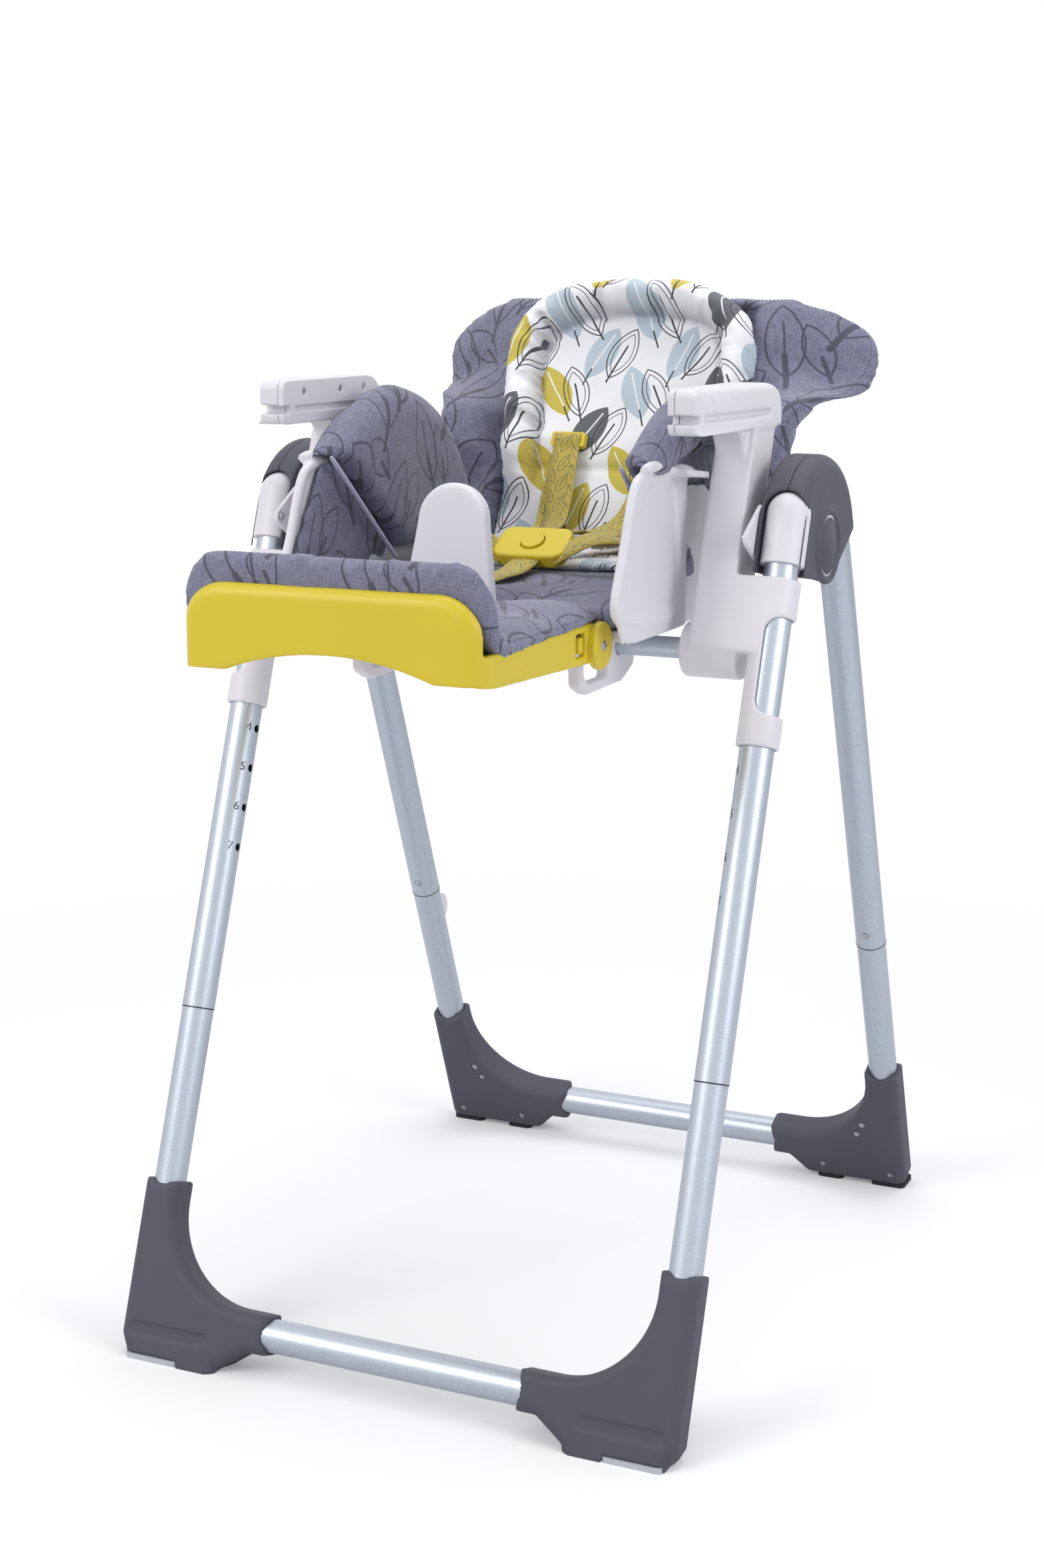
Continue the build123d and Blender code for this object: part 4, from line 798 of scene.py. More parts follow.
def hood_place(side):
    """Puts a point of the hood's cut in the frame: v is measured from the top line, less than 0 inside."""
    def place_at(y, v, h):
        quarter = HOOD_ROUND * math.pi / 2
        top = hood_top(y) - HOOD_ROUND
        if v < -quarter:
            x, z = HOOD_MIDDLE - HOOD_ROUND - h, top + v + quarter
        elif v > quarter:
            x, z = HOOD_MIDDLE + HOOD_ROUND + h, top - v + quarter
        else:
            turn = v / HOOD_ROUND
            x = HOOD_MIDDLE + math.sin(turn) * (HOOD_ROUND + h)
            z = top + math.cos(turn) * (HOOD_ROUND + h)
        return Vector((side * x, y, z))
    return place_at


def hood_heights(u, v, edge):
    """Thick inside, thin outside, pinched at the seam."""
    half = 0.003 + 0.0055 * smooth(v, 0.02, -0.03)
    half *= 0.35 + 0.65 * round_edge(edge, 0.012)
    return half, -half * (0.6 if v > 0 else 1.0)


SLANT_TOP = (-0.146, 0.858)
SLANT_FOOT = (-0.012, 0.746)
HOOD_REAR = 0.138


def below_top(y, z):
    """The cut's point at y and height z on the inside of the hood."""
    return (y, z - hood_top(y))


def between(a, b, count):
    """Points from a to b, without b."""
    return [tuple(p + (q - p) * i / count for p, q in zip(a, b)) for i in range(count)]


hood_foot = between(SLANT_FOOT, (HOOD_REAR, PAD_FLOOR), 4)
hood_cut = [below_top(y, z) for y, z in between(SLANT_TOP, SLANT_FOOT, 5) + hood_foot]
hood_cut += [(0.150, -0.022), (0.153, -0.006), (0.142, 0.012), (0.112, 0.034),
             (0.060, 0.050), (0.0, 0.056), (-0.060, 0.050), (-0.105, 0.040), (-0.135, 0.022)]
hood_outline = smooth_outline(hood_cut, step=0.006)


# %% Side pads, linings and bindings
RING = 8


def ring_places(point, side, up, radius):
    """Places on a circle round the point, in the plane of side and up."""
    return [point + (side * math.cos(a) + up * math.sin(a)) * radius
            for a in (k * 2 * math.pi / RING for k in range(RING))]


def close_rings(mesh, rings):
    """Faces from ring to ring and over both ends."""
    for a, b in zip(rings, rings[1:]):
        for k in range(RING):
            mesh.faces.new((a[k], a[(k + 1) % RING], b[(k + 1) % RING], b[k]))
    mesh.faces.new(rings[0][::-1])
    mesh.faces.new(rings[-1])


def direction(path, i):
    """The direction in which a path runs at its point i."""
    return (path[min(i + 1, len(path) - 1)] - path[max(i - 1, 0)]).normalized()


def cord(name, path, radius):
    """A thin round cord along a path, drawn in at both ends."""
    mesh = bmesh.new()
    rings = []
    for i, point in enumerate(path):
        ahead = direction(path, i)
        side = ahead.cross(Vector((0, 0, 1))).normalized()
        ends = 0.55 if i in (0, len(path) - 1) else 1.0
        rings.append([mesh.verts.new(p) for p in ring_places(point, side, side.cross(ahead), radius * ends)])
    close_rings(mesh, rings)
    return built(name, mesh)


def plain_cloth(name, colour):
    """Unprinted woven cloth for bindings and thread."""
    tree, shader = material(name, colour, 0.85, Sheen_Weight=0.2)
    threads = noise_at(tree, place(tree), size=0.0012, detail=2)
    colour_from(tree, shader, tinted(tree, threads, 0.3, colour, rgb(120, 120, 140)))
    bump(tree, shader, threads, strength=0.4, distance=0.0004)


plain_cloth("binding", rgb(196, 198, 218))
CHEEK_ROOM = 0.1590
CHEEK_TOP = 0.832
CHEEK_SLOPES = ((0.030, 0.828, 0.58), (0.078, 0.800, 0.84))


def within_cheek(piece):
    """Keeps a side pad on the inner side of the seat shell's cheek, below the cheek's top edge."""
    for vertex in piece.data.vertices:
        x, y, z = vertex.co
        top = min(CHEEK_TOP, *(height - fall * (y - start) for start, height, fall in CHEEK_SLOPES))
        held = smooth(y, -0.060, -0.052) * smooth(z, top + 0.008, top + 0.002)
        vertex.co.x = math.copysign(abs(x) - held * max(0, abs(x) - CHEEK_ROOM), x)


LINING_X = 0.1635
LINING_CUT = [(-0.180, 0.744), (-0.193, 0.764), (-0.176, 0.796), (-0.158, 0.826), (-0.140, 0.850),
              (-0.112, 0.850), (-0.060, 0.838), (-0.020, 0.79), (0.004, 0.744), (-0.09, 0.743)]
BINDING_RADIUS = 0.0026
for side, tag in SIDES:
    pad, info = sewn("side_pad_" + tag, hood_outline, hood_heights, hood_place(side), step=0.0065)
    swell(pad, pressure=3.0, cap=0.0045)
    crumple(pad, info, gather=0.0020, pitch=0.030, reach=0.018, soft=0.0018, size=0.06, seed=7 + side)
    within_cheek(pad)
    dress(pad, "grey_fabric")
    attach(pad, "carriage")
    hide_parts("wing_pad_" + tag)
    lining, info = sewn("wing_lining_" + tag, smooth_outline(LINING_CUT, step=0.007),
                        lambda u, v, edge: (0.0035 * round_edge(edge, 0.006), -0.001),
                        lambda u, v, h: Vector((side * (LINING_X - h), u, v)), step=0.009)
    crumple(lining, info, gather=0.001, soft=0.0012, size=0.05, seed=2)
    dress(lining, "grey_fabric")
    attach(lining, "carriage")
    slant = [Vector((side * (HOOD_MIDDLE - HOOD_ROUND - 0.003), y - 0.001, z - 0.001))
             for y, z in between(SLANT_TOP, SLANT_FOOT, 24) + [SLANT_FOOT]]
    binding = dress(cord("side_pad_binding_" + tag, slant, BINDING_RADIUS), "binding")
    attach(binding, "carriage")
print("side pads:", len(pad.data.vertices), "points each")

# %% [markdown]
# ## Calf rest cover and seat pad
#
# The cover of the calf rest is one cushion. It lies on the tray and curls up behind the front plate, and its
# corners are cut round so that the curl runs out towards the sides. Its rear edge has a notch for the crotch
# post, and the seat pad lies behind it.

# %% Calf cover
rest_low, rest_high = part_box("calf_rest_frame")
PLATE_IN_Y = rest_low.y + 0.011
CALF_MIDDLE_Z = 0.7295
CALF_REAR_Y = -0.172
CURL_Y = PLATE_IN_Y + 0.0125
CURL_ROUND = 0.024
CALF_HALF = 0.151
CURL_START = CALF_REAR_Y - (CURL_Y + CURL_ROUND)
CURL_LENGTH = CURL_ROUND * math.pi / 2
CALF_LIP_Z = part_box("calf_pad")[1].z
CALF_LENGTH = CURL_START + CURL_LENGTH + CALF_LIP_Z - (CALF_MIDDLE_Z + CURL_ROUND) - 0.003


def on_calf(x, v, h):
    """v runs from the rear of the cover forwards and up the curl; h is towards the occupant."""
    sag = -0.006 * smooth(abs(x), 0.115, CALF_HALF)
    if v < CURL_START:
        return Vector((x, CALF_REAR_Y - v, CALF_MIDDLE_Z + sag + h))
    if v < CURL_START + CURL_LENGTH:
        turn = (v - CURL_START) / CURL_ROUND
        reach = CURL_ROUND - h
        return Vector((x, CURL_Y + CURL_ROUND - math.sin(turn) * reach,
                       CALF_MIDDLE_Z + sag + CURL_ROUND - math.cos(turn) * reach))
    rise = v - CURL_START - CURL_LENGTH
    return Vector((x, CURL_Y + h, CALF_MIDDLE_Z + sag + CURL_ROUND + rise))


def calf_heights(u, v, edge):
    """An even cushion, fuller in the curl, thin at the rear."""
    half = 0.0062 + 0.0052 * smooth(v, CURL_START - 0.04, CURL_START + 0.04)
    half *= 0.25 + 0.75 * round_edge(edge, 0.015)
    return half, -half * 0.8


post_low, post_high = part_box("crotch_post")
POST_ROOM = 0.0045
notch_x = post_high.x + POST_ROOM
notch_v = CALF_REAR_Y - post_low.y + POST_ROOM
CALF_REAR_V = 0.002
calf_half = [(notch_x, CALF_REAR_V), (0.125, 0.0), (0.146, 0.006), (CALF_HALF, 0.05), (CALF_HALF, 0.12),
             (CALF_HALF, 0.19), (CALF_HALF, CURL_START + 0.012), (0.1500, CALF_LENGTH - 0.036),
             (0.144, CALF_LENGTH - 0.017), (0.130, CALF_LENGTH - 0.004), (0.108, CALF_LENGTH),
             (0.05, CALF_LENGTH + 0.001)]
calf_cut = smooth_outline(calf_half + [(-x, v) for x, v in reversed(calf_half)], step=0.006, closed=False)
notch = [(-notch_x, CALF_REAR_V), (-notch_x, notch_v), (notch_x, notch_v), (notch_x, CALF_REAR_V)]
for corner, next_corner in zip(notch, notch[1:]):
    calf_cut += smooth_outline([corner, next_corner], step=0.006, closed=False)[1:]
calf_cut.pop()
calf_cover, info = sewn("calf_cover", calf_cut, calf_heights, on_calf, step=0.0065)
swell(calf_cover, pressure=2.5, cap=0.005)
crumple(calf_cover, info, gather=0.0016, pitch=0.03, reach=0.02, soft=0.002, size=0.05, seed=11)
dress(calf_cover, "grey_fabric")
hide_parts("calf_pad")
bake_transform(calf_cover)
print("calf cover:", len(calf_cover.data.vertices), "points")

# %% Seat pad
seat_low, seat_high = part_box("seat_pad")
SEAT_TOP_Z = seat_high.z
seat_rim = 0.5 * (seat_high.x - seat_low.x) - 0.001
seat_rear = seat_high.y - 0.002
seat_cut = [(-seat_rim, -0.176), (-0.05, -0.177), (0.05, -0.177), (seat_rim, -0.176), (seat_rim, -0.05),
            (seat_rim, seat_high.y - 0.02), (seat_rim - 0.02, seat_rear), (0, seat_rear),
            (0.02 - seat_rim, seat_rear), (-seat_rim, seat_high.y - 0.02), (-seat_rim, -0.05)]
SEAT_MIDDLE_Z = (seat_low.z + seat_high.z) / 2


def seat_heights(u, v, edge):
    """A crowned cushion whose front runs out thin under the calf cover."""
    half = 0.0125 * (0.2 + 0.8 * round_edge(edge, 0.018))
    return half - 0.006 * smooth(v, -0.13, -0.165), -half


seat_pad, info = sewn("seat_cushion", smooth_outline(seat_cut, step=0.009), seat_heights,
                      lambda u, v, h: Vector((u, v, SEAT_MIDDLE_Z + h)), step=0.0095)
swell(seat_pad, pressure=2.0, cap=0.003)
crumple(seat_pad, info, gather=0.0015, soft=0.0015, seed=3)
dress(seat_pad, "grey_fabric")
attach(seat_pad, "carriage")
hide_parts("seat_pad")
print("seat cushion:", len(seat_pad.data.vertices), "points")

# %% [markdown]
# ## Infant liner
#
# The white liner is a quilted sheet that lies on the back and runs out over the seat. Round the head and
# shoulders it has a stuffed roll, which makes a nest. The roll is a half circle in the height of the front
# panel, gathered along its inner seam. The liner bends where the back meets the seat, so it lies on both.

# %% Liner path
LINER_N = -0.008
SEAT_LINE_Z = SEAT_TOP_Z + 0.005
BEND_ROUND = 0.032
bend_turn = math.pi / 2 - BACK_LEAN
corner_s = (SEAT_LINE_Z - back_origin.z - back_out.z * LINER_N) / back_up.z
corner_y = on_back(0, corner_s, LINER_N).y
bend_reach = BEND_ROUND * math.tan(bend_turn / 2)
bend_length = BEND_ROUND * bend_turn
bend_s = corner_s + bend_reach


def on_liner(x, s, h):
    """s runs up the back above the bend, and forwards over the seat below it."""
    if s >= bend_s:
        return on_back(x, s, LINER_N + h)
    start = on_back(x, bend_s, LINER_N)
    centre = start + back_out * BEND_ROUND
    turn = (bend_s - s) / BEND_ROUND
    if s > bend_s - bend_length:
        outward = -(back_out * math.cos(turn) + back_up * math.sin(turn))
        return centre + outward * (BEND_ROUND - h)
    run = bend_s - bend_length - s
    return Vector((x, corner_y - bend_reach - run, SEAT_LINE_Z + h))


# %% Liner
ROLL = 0.036
LINER_FRONT_S = bend_s - bend_length - (corner_y - bend_reach - 0.012)
LINER_HALF = [(0.112, LINER_FRONT_S), (0.122, LINER_FRONT_S + 0.03), (0.121, 0.0),
              (0.124, 0.06), (0.122, 0.100), (0.128, 0.140), (0.134, 0.190), (0.139, 0.235), (0.134, 0.276),
              (0.112, 0.308), (0.066, 0.329), (0, 0.334)]


def liner_heights(u, v, edge):
    """A quilted panel with a stuffed roll at its edge above the waist."""
    panel = 0.005 * (0.2 + 0.8 * round_edge(edge, 0.012))
    share = smooth(v, 0.075, 0.135)
    roll = 0.0
    if edge < ROLL:
        roll = 0.031 * math.sqrt(max(0.0, 1 - ((edge - ROLL / 2) / (ROLL / 2)) ** 2)) * share
        roll *= 1 + 0.16 * noise.noise(Vector((u / 0.026, v / 0.026, 5)))
    crease = 0.007 * share * math.exp(-((edge - ROLL - 0.001) / 0.0035) ** 2)
    waist = 0.0035 * math.exp(-((v - 0.124) / 0.004) ** 2) * smooth(edge, ROLL - 0.004, ROLL + 0.004)
    hollow = 0.004 * share * smooth(edge, ROLL, ROLL + 0.03)
    return panel + roll - crease - waist - hollow * 0.5, -panel * 0.8 - crease


liner_cut = smooth_outline(LINER_HALF, step=0.005, closed=False)
liner_cut = [(x, s) for x, s in liner_cut] + [(-x, s) for x, s in reversed(liner_cut[:-1])]
liner_cut += between(liner_cut[-1], liner_cut[0], 44)[1:]
liner, info = sewn("infant_liner_cover", liner_cut, liner_heights, on_liner, step=0.0042)


def gather_roll(piece, info):
    """Pulls narrow pleats across the roll, deepest at its inner seam, and stores painted shade along the
    crease of that seam for the material.
    """
    shade = piece.data.attributes.new("seam_shade", "FLOAT", "POINT")
    for vertex, (edge, along, side) in zip(piece.data.vertices, info):
        if side < 1 or edge > 2 * ROLL:
            continue
        high = smooth(vertex.co.z, 0.80, 0.86)
        # painted shade: a narrow line in the crease at the roll's inner seam, on the upper part of the liner
        # only
        shade.data[vertex.index].value = high * math.exp(-((edge - ROLL - 0.0005) / 0.0024) ** 2)
        pleat = max(0.0, noise.noise(Vector((along / 0.013, 3.7, edge * 9))) - 0.02)
        near = math.exp(-((edge - ROLL * 0.86) / 0.010) ** 2)
        vertex.co -= vertex.normal * 0.020 * pleat * near * high


gather_roll(liner, info)
crumple(liner, info, gather=0.0014, pitch=0.02, reach=0.03, soft=0.0020, size=0.04, seed=9)
dress(liner, "liner_fabric")
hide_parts("infant_liner")
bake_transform(liner)
print("liner:", len(liner.data.vertices), "points")

# %% [markdown]
# ## Harness
#
# The harness is flat webbing. Each shoulder strap runs double: one strand from its slider over the belly to
# the buckle, and one behind it that comes back. The lap straps leave the buckle's ends, rise in a loose
# arch and go down to the seat. A ribbon is drawn from stations, each with a place and a direction across,
# and its UV map holds metres across and along, so the printed petals stay on the middle line.

# %% Webbing from stations
WEBBING_THICKNESS = 0.0016
WEBBING_HALF = 0.0145
WEBBING_STEP = 0.004
WEBBING_POINTS = 5


def spline(a, b, c, d, t):
    """A point between b and c on a smooth curve through all four."""
    return 0.5 * ((2 * b) + (c - a) * t + (2 * a - 5 * b + 4 * c - d) * t * t
                  + (3 * b - a - 3 * c + d) * t ** 3)


def ribbon(name, stations, cup=0.0008, seed=0.0):
    """Flat webbing through stations of (place, direction across), closed all round."""
    places = [Vector(place) for place, _ in stations]
    acrosses = [Vector(across).normalized() for _, across in stations]
    path, turns = [], []
    for i in range(len(places) - 1):
        around = [min(max(i + k, 0), len(places) - 1) for k in (-1, 0, 1, 2)]
        pieces = max(1, round((places[i + 1] - places[i]).length / WEBBING_STEP))
        for j in range(pieces + (i == len(places) - 2)):
            path.append(spline(*(places[k] for k in around), j / pieces))
            turns.append(spline(*(acrosses[k] for k in around), j / pieces))
    mesh = bmesh.new()
    layer = mesh.loops.layers.uv.new("cut")
    rows, length = [], 0.0
    for i, (place, across) in enumerate(zip(path, turns)):
        ahead = direction(path, i)
        across = (across - ahead * across.dot(ahead)).normalized()
        up = across.cross(ahead)
        if i:
            length += (place - path[i - 1]).length
        row = []
        for face in (1, -1):
            for k in range(WEBBING_POINTS):
                u = (k - 2) / 2 * WEBBING_HALF * face
                wave = 0.0007 * noise.noise(Vector((length / 0.03, u / 0.02, seed)))
                lift = cup * (1 - (u / WEBBING_HALF) ** 2) + wave
                spot = place + across * u + up * (lift + face * WEBBING_THICKNESS / 2)
                row.append((mesh.verts.new(spot), u, length))
        rows.append(row)

    def quad(corners):
        made = mesh.faces.new([corner[0] for corner in corners])
        for loop, corner in zip(made.loops, corners):
            loop[layer].uv = corner[1:]

    count = 2 * WEBBING_POINTS
    for a, b in zip(rows, rows[1:]):
        for k in range(count):
            quad((a[k], a[(k + 1) % count], b[(k + 1) % count], b[k]))
    quad(rows[0][::-1])
    quad(rows[-1])
    return dress(built(name, mesh), "webbing", levels=0)


def sided(stations, side):
    """Stations in back coordinates for one side, as places in the frame."""
    return [(on_back(side * x, s, n), across) for (x, s, n), across in stations]


# %% Shoulder straps, lap straps and crotch strap
SLIDER_X = 0.052
level = Vector((1, 0, 0))
for side, tag in SIDES:
    turned = Vector((1, side * 0.25, side * -0.2))
    front = [((SLIDER_X, 0.158, 0.006), level), ((SLIDER_X, 0.151, 0.0085), level),
             ((SLIDER_X, 0.143, 0.0065), level), ((0.050, 0.125, 0.0095), level),
             ((0.046, 0.090, 0.014), level), ((0.040, 0.055, 0.026), turned),
             ((0.032, 0.030, 0.062), turned), ((0.026, 0.017, 0.100), level), ((0.0235, 0.012, 0.121), level)]
    behind = [((SLIDER_X, 0.146, 0.0035), level), ((0.054, 0.120, 0.0045), level),
              ((0.055, 0.085, 0.0055), Vector((1, side * -0.15, side * 0.3))),
              ((0.052, 0.050, 0.014), Vector((1, side * -0.4, side * 0.6))),
              ((0.043, 0.028, 0.045), Vector((1, side * -0.4, side * 0.5))),
              ((0.032, 0.014, 0.085), Vector((1, side * -0.2, side * 0.3))), ((0.026, 0.008, 0.114), level)]
    shoulder = ribbon("shoulder_strap_" + tag, sided(front, side), seed=side)
    under = ribbon("shoulder_strap_return_" + tag, sided(behind, side), seed=2 + side)
    for strand in (shoulder, under):
        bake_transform(strand)
    lap = [((0.030, -0.013, 0.757), (0, -0.85, -0.53)), ((0.050, -0.022, 0.768), (0.25, -0.85, -0.45)),
           ((0.074, -0.023, 0.776), (0.45, -0.85, -0.25)), ((0.098, -0.004, 0.772), (0.75, -0.6, -0.1)),
           ((0.115, 0.026, 0.760), (0.9, -0.35, 0.0)), ((0.126, 0.060, 0.749), (1, -0.25, 0.0))]
    lap = [((side * place[0],) + place[1:], (across[0], side * across[1], side * across[2]))
           for place, across in lap]
    strap = ribbon("lap_strap_" + tag, lap, cup=0.0015, seed=4 + side)
    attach(strap, "carriage")
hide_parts("shoulder_straps")
crotch = ribbon("crotch_strap", [((0, -0.170, 0.7435), (1, 0, 0)), ((0, -0.115, 0.7445), (1, 0, 0)),
                                 ((0, -0.065, 0.7450), (1, 0, 0)), ((0, -0.042, 0.7485), (1, 0, 0)),
                                 ((0, -0.026, 0.7530), (1, 0, 0))], seed=8)
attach(crotch, "carriage")
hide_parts("lap_straps")
print("straps:", len([piece for piece in bpy.data.objects if "strap" in piece.name]))

# %% [markdown]
# ## Moulded bodies
#
# Injection moulded covers have no sharp edge anywhere: the tool is cut with a round cutter and every edge
# is eased so that the part comes out and feels soft. Each such body is made from the CAD solids, with its
# small raised details added, as one skin: the solids are joined in a fine grid and the grid is smoothed,
# which rounds the edges by about two millimetres and lets ribs flow into their wall.


# %% From CAD solids to a moulded skin
def bar(mesh, points, radius):
    """A round bar through points, closed at its ends, added to a mesh that is being built."""
    path = [Vector(p) for p in points]
    rings = []
    side = direction(path, 0).orthogonal().normalized()
    for i, point in enumerate(path):
        ahead = direction(path, i)
        if i:
            side = (side - ahead * side.dot(ahead)).normalized()
        rings.append([mesh.verts.new(p) for p in ring_places(point, side, ahead.cross(side), radius)])
    close_rings(mesh, rings)


def moulded_body(name, source, body, grid, rounds, details=None, keep=1.0, shape=None):
    """One skin over a CAD part and details. details(mesh) adds closed shapes; keep is the share of the faces
    that stay; shape(place) gives the place to which a point of the finished skin moves."""
    mesh = bmesh.new()
    mesh.from_mesh(nodes[source].data)
    bmesh.ops.remove_doubles(mesh, verts=mesh.verts, dist=1e-6)
    if details:
        details(mesh)
    piece = built(name, mesh)
    fine = piece.modifiers.new("grid", "REMESH")
    fine.mode = "VOXEL"
    fine.voxel_size = grid
    eased = piece.modifiers.new("ease", "SMOOTH")
    eased.factor = 0.5
    eased.iterations = rounds
    if keep < 1:
        piece.modifiers.new("fewer", "DECIMATE").ratio = keep
    skin = settled(piece)
    if shape:
        for vertex in skin.vertices:
            vertex.co = shape(vertex.co.copy())
    finish = nodes[source].material_slots[0].material
    skin.materials.clear()
    skin.materials.append(finish)
    for polygon in skin.polygons:
        polygon.use_smooth = True
    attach(piece, body)
    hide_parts(source)
    print(name, len(skin.polygons), "faces")


BORE_ROOM = 0.0006
BORE_DEPTH = 0.02


def bored(centre, axis, radius):
    """A shape step that keeps a round bore open for a button of that radius, which slides along the axis."""
    def shape(place):
        off = place - centre
        along = off.dot(axis)
        out = off - axis * along
        if radius - 0.004 < out.length < radius + BORE_ROOM and abs(along) < BORE_DEPTH:
            place = centre + axis * along + out.normalized() * (radius + BORE_ROOM)
        return place
    return shape


# %% Side frames with ribs on the armrest
ARMREST_OUT = max(abs(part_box("armrest_cover_right")[1].x), 0.2345)
ARMREST_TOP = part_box("side_frame_right")[1].z
ARMREST_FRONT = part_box("side_frame_right")[0].y
RIB_RADIUS = 0.0062
FIRST_RIB = 0.024
RIB_PITCH = 0.021
RIB_RUN = [(0.0026, 0.022), (0.0026, 0.012), (0.0046, 0.0062), (0.0100, 0.0036), (0.0200, 0.0042)]
ARMREST_TAPER = 0.013
TAPER_IN = 0.205
ARMREST_FOOT = ARMREST_TOP - 0.045
EDGE_DEPTH = 0.012
EDGE_DROP = 0.004


def tapered(place):
    """Draws the front of the armrest in, and rounds its long top edges."""
    if place.z < ARMREST_FOOT:
        return place
    out = smooth(abs(place.x), TAPER_IN, ARMREST_OUT)
    high = smooth(place.z, ARMREST_FOOT, ARMREST_TOP - 0.036)
    pull = ARMREST_TAPER * smooth(place.y, 0.0, ARMREST_FRONT) * out * high
    edge = min((ARMREST_OUT + 0.002 - abs(place.x)) / EDGE_DEPTH, 1.0)
    drop = EDGE_DROP * (1 - edge) ** 2 * smooth(place.z, ARMREST_TOP - EDGE_DEPTH, ARMREST_TOP)
    place.x -= math.copysign(pull, place.x)
    place.z -= drop
    return place


def armrest_ribs(side):
    """Three broad half-round ribs on the outer face of the armrest that run over its top edge."""
    def details(mesh):
        for i in range(3):
            y = ARMREST_FRONT + FIRST_RIB + RIB_PITCH * i
            bar(mesh, [(side * (ARMREST_OUT - inset), y, ARMREST_TOP - drop) for inset, drop in RIB_RUN],
                RIB_RADIUS)
    return details


for side, tag in SIDES:
    moulded_body("side_frame_skin_" + tag, "side_frame_" + tag, "carriage", grid=0.0016, rounds=6,
                 details=armrest_ribs(side), keep=0.7, shape=tapered)
    moulded_body("armrest_cover_skin_" + tag, "armrest_cover_" + tag, "carriage", grid=0.0010, rounds=6,
                 keep=0.6, shape=tapered)

# %% Seat shell with the rims and lips of its wings
WING_X = 0.172
WING_RIM = [(-0.160, 0.842), (-0.116, 0.846), (-0.086, 0.840), (-0.068, 0.828), (-0.058, 0.771),
            (-0.057, 0.734), (-0.087, 0.713), (-0.170, 0.7195), (-0.207, 0.735), (-0.188, 0.785)]
RIM_INSET = 0.0028
RIM_RADIUS = 0.0050
LIP_OUTSET = 0.003
LIP_RADIUS = 0.0055
WING_LIP = [(-0.154, 0.854), (-0.132, 0.8565), (-0.092, 0.851), (-0.060, 0.849), (-0.039, 0.845)]


def seat_details(mesh):
    """A raised rim round each wing's outer face and a lip along its top."""
    rim = smooth_outline(WING_RIM, step=0.006)
    lip = smooth_outline(WING_LIP, step=0.006, closed=False)
    for side, _ in SIDES:
        bar(mesh, [(side * (WING_X - RIM_INSET), y, z) for y, z in rim + rim[:1]], RIM_RADIUS)
        bar(mesh, [(side * (WING_X + LIP_OUTSET), y, z) for y, z in lip], LIP_RADIUS)


moulded_body("seat_shell_skin", "seat_shell", "carriage", grid=0.0020, rounds=5,
             details=seat_details, keep=0.45)

# %% Hubs, boots, calf rest and crotch post
COLLAR_PIPE = 0.0042
COLLAR_INSET = 0.0008
button_low, button_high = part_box("hub_button_right")
button_middle = (button_low + button_high) / 2
button_radius = (button_high.z - button_low.z) / 2
collar_radius = button_radius + 0.0065
hub_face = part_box("hub_outer_shell_right")[1].x


def hub_collar(side):
    """A raised round collar on the hub's outer face, round its button."""
    def details(mesh):
        turns = [k * math.pi / 24 for k in range(49)]
        bar(mesh, [(side * (hub_face - COLLAR_INSET), button_middle.y + collar_radius * math.cos(a),
                    button_middle.z + collar_radius * math.sin(a)) for a in turns], COLLAR_PIPE)
    return details


PLATE_ROUND = 0.012
PLATE_DEPTH = 0.008
PLATE_CORNER = 0.042


def plate_rounded(place):
    """Rounds the upper rim of the calf rest's front plate."""
    if place.y > PLATE_IN_Y:
        return place
    in_x = max(abs(place.x) - (rest_high.x - PLATE_CORNER), 0.0)
    in_z = max(place.z - (rest_high.z - PLATE_CORNER), 0.0)
    edge = PLATE_CORNER - math.hypot(in_x, in_z)
    near = max(0.0, 1 - max(edge, 0.0) / PLATE_ROUND)
    front = (PLATE_IN_Y - place.y) / (PLATE_IN_Y - rest_low.y)
    place.y += PLATE_DEPTH * (1 - math.sqrt(1 - near * near)) * min(front, 1.0)
    return place


for side, tag in SIDES:
    middle = Vector((side * button_middle.x, button_middle.y, button_middle.z))
    moulded_body("hub_outer_skin_" + tag, "hub_outer_shell_" + tag, "front_frame", grid=0.0014, rounds=5,
                 details=hub_collar(side), keep=0.6, shape=bored(middle, Vector((1, 0, 0)), button_radius))
    moulded_body("hub_inner_skin_" + tag, "hub_inner_shell_" + tag, "front_frame", grid=0.0015, rounds=5,
                 keep=0.5)
    for foot in ("front", "rear"):
        moulded_body(f"{foot}_foot_skin_{tag}", f"{foot}_foot_{tag}", foot + "_frame", grid=0.0016, rounds=5,
                     keep=0.5)
moulded_body("calf_rest_frame_skin", "calf_rest_frame", "calf_rest", grid=0.0016, rounds=6,
             keep=0.5, shape=plate_rounded)
moulded_body("crotch_post_skin", "crotch_post", "carriage", grid=0.0016, rounds=6, keep=0.6)

# %% Backrest shell and buckle
SHELL_REAR = min(p.dot(back_out) for p in shell_points if p.dot(back_up) > SHELL_TOP - 0.02)
SHELL_RIBS = [0.205 + 0.018 * i for i in range(5)]
RIB_ACROSS = (-0.085, -0.04, 0, 0.04, 0.085)
RIB_SINK = 0.0012
SHELL_RIB_RADIUS = 0.0032


def shell_ribs(mesh):
    """Cross ribs that stiffen the rear of the back's shell."""
    for s in SHELL_RIBS:
        bar(mesh, [on_back(x, s, SHELL_REAR + RIB_SINK) for x in RIB_ACROSS], SHELL_RIB_RADIUS)


moulded_body("backrest_shell_skin", "backrest_shell", "backrest", grid=0.0018, rounds=4,
             details=shell_ribs, keep=0.4)
press_low, press_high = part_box("buckle_button")
press_axis = Vector(joints["buckle_press"]["axis"]).normalized()
moulded_body("buckle_skin", "buckle", "carriage", grid=0.0007, rounds=4, keep=0.6,
             shape=bored((press_low + press_high) / 2, press_axis, (press_high.x - press_low.x) / 2))

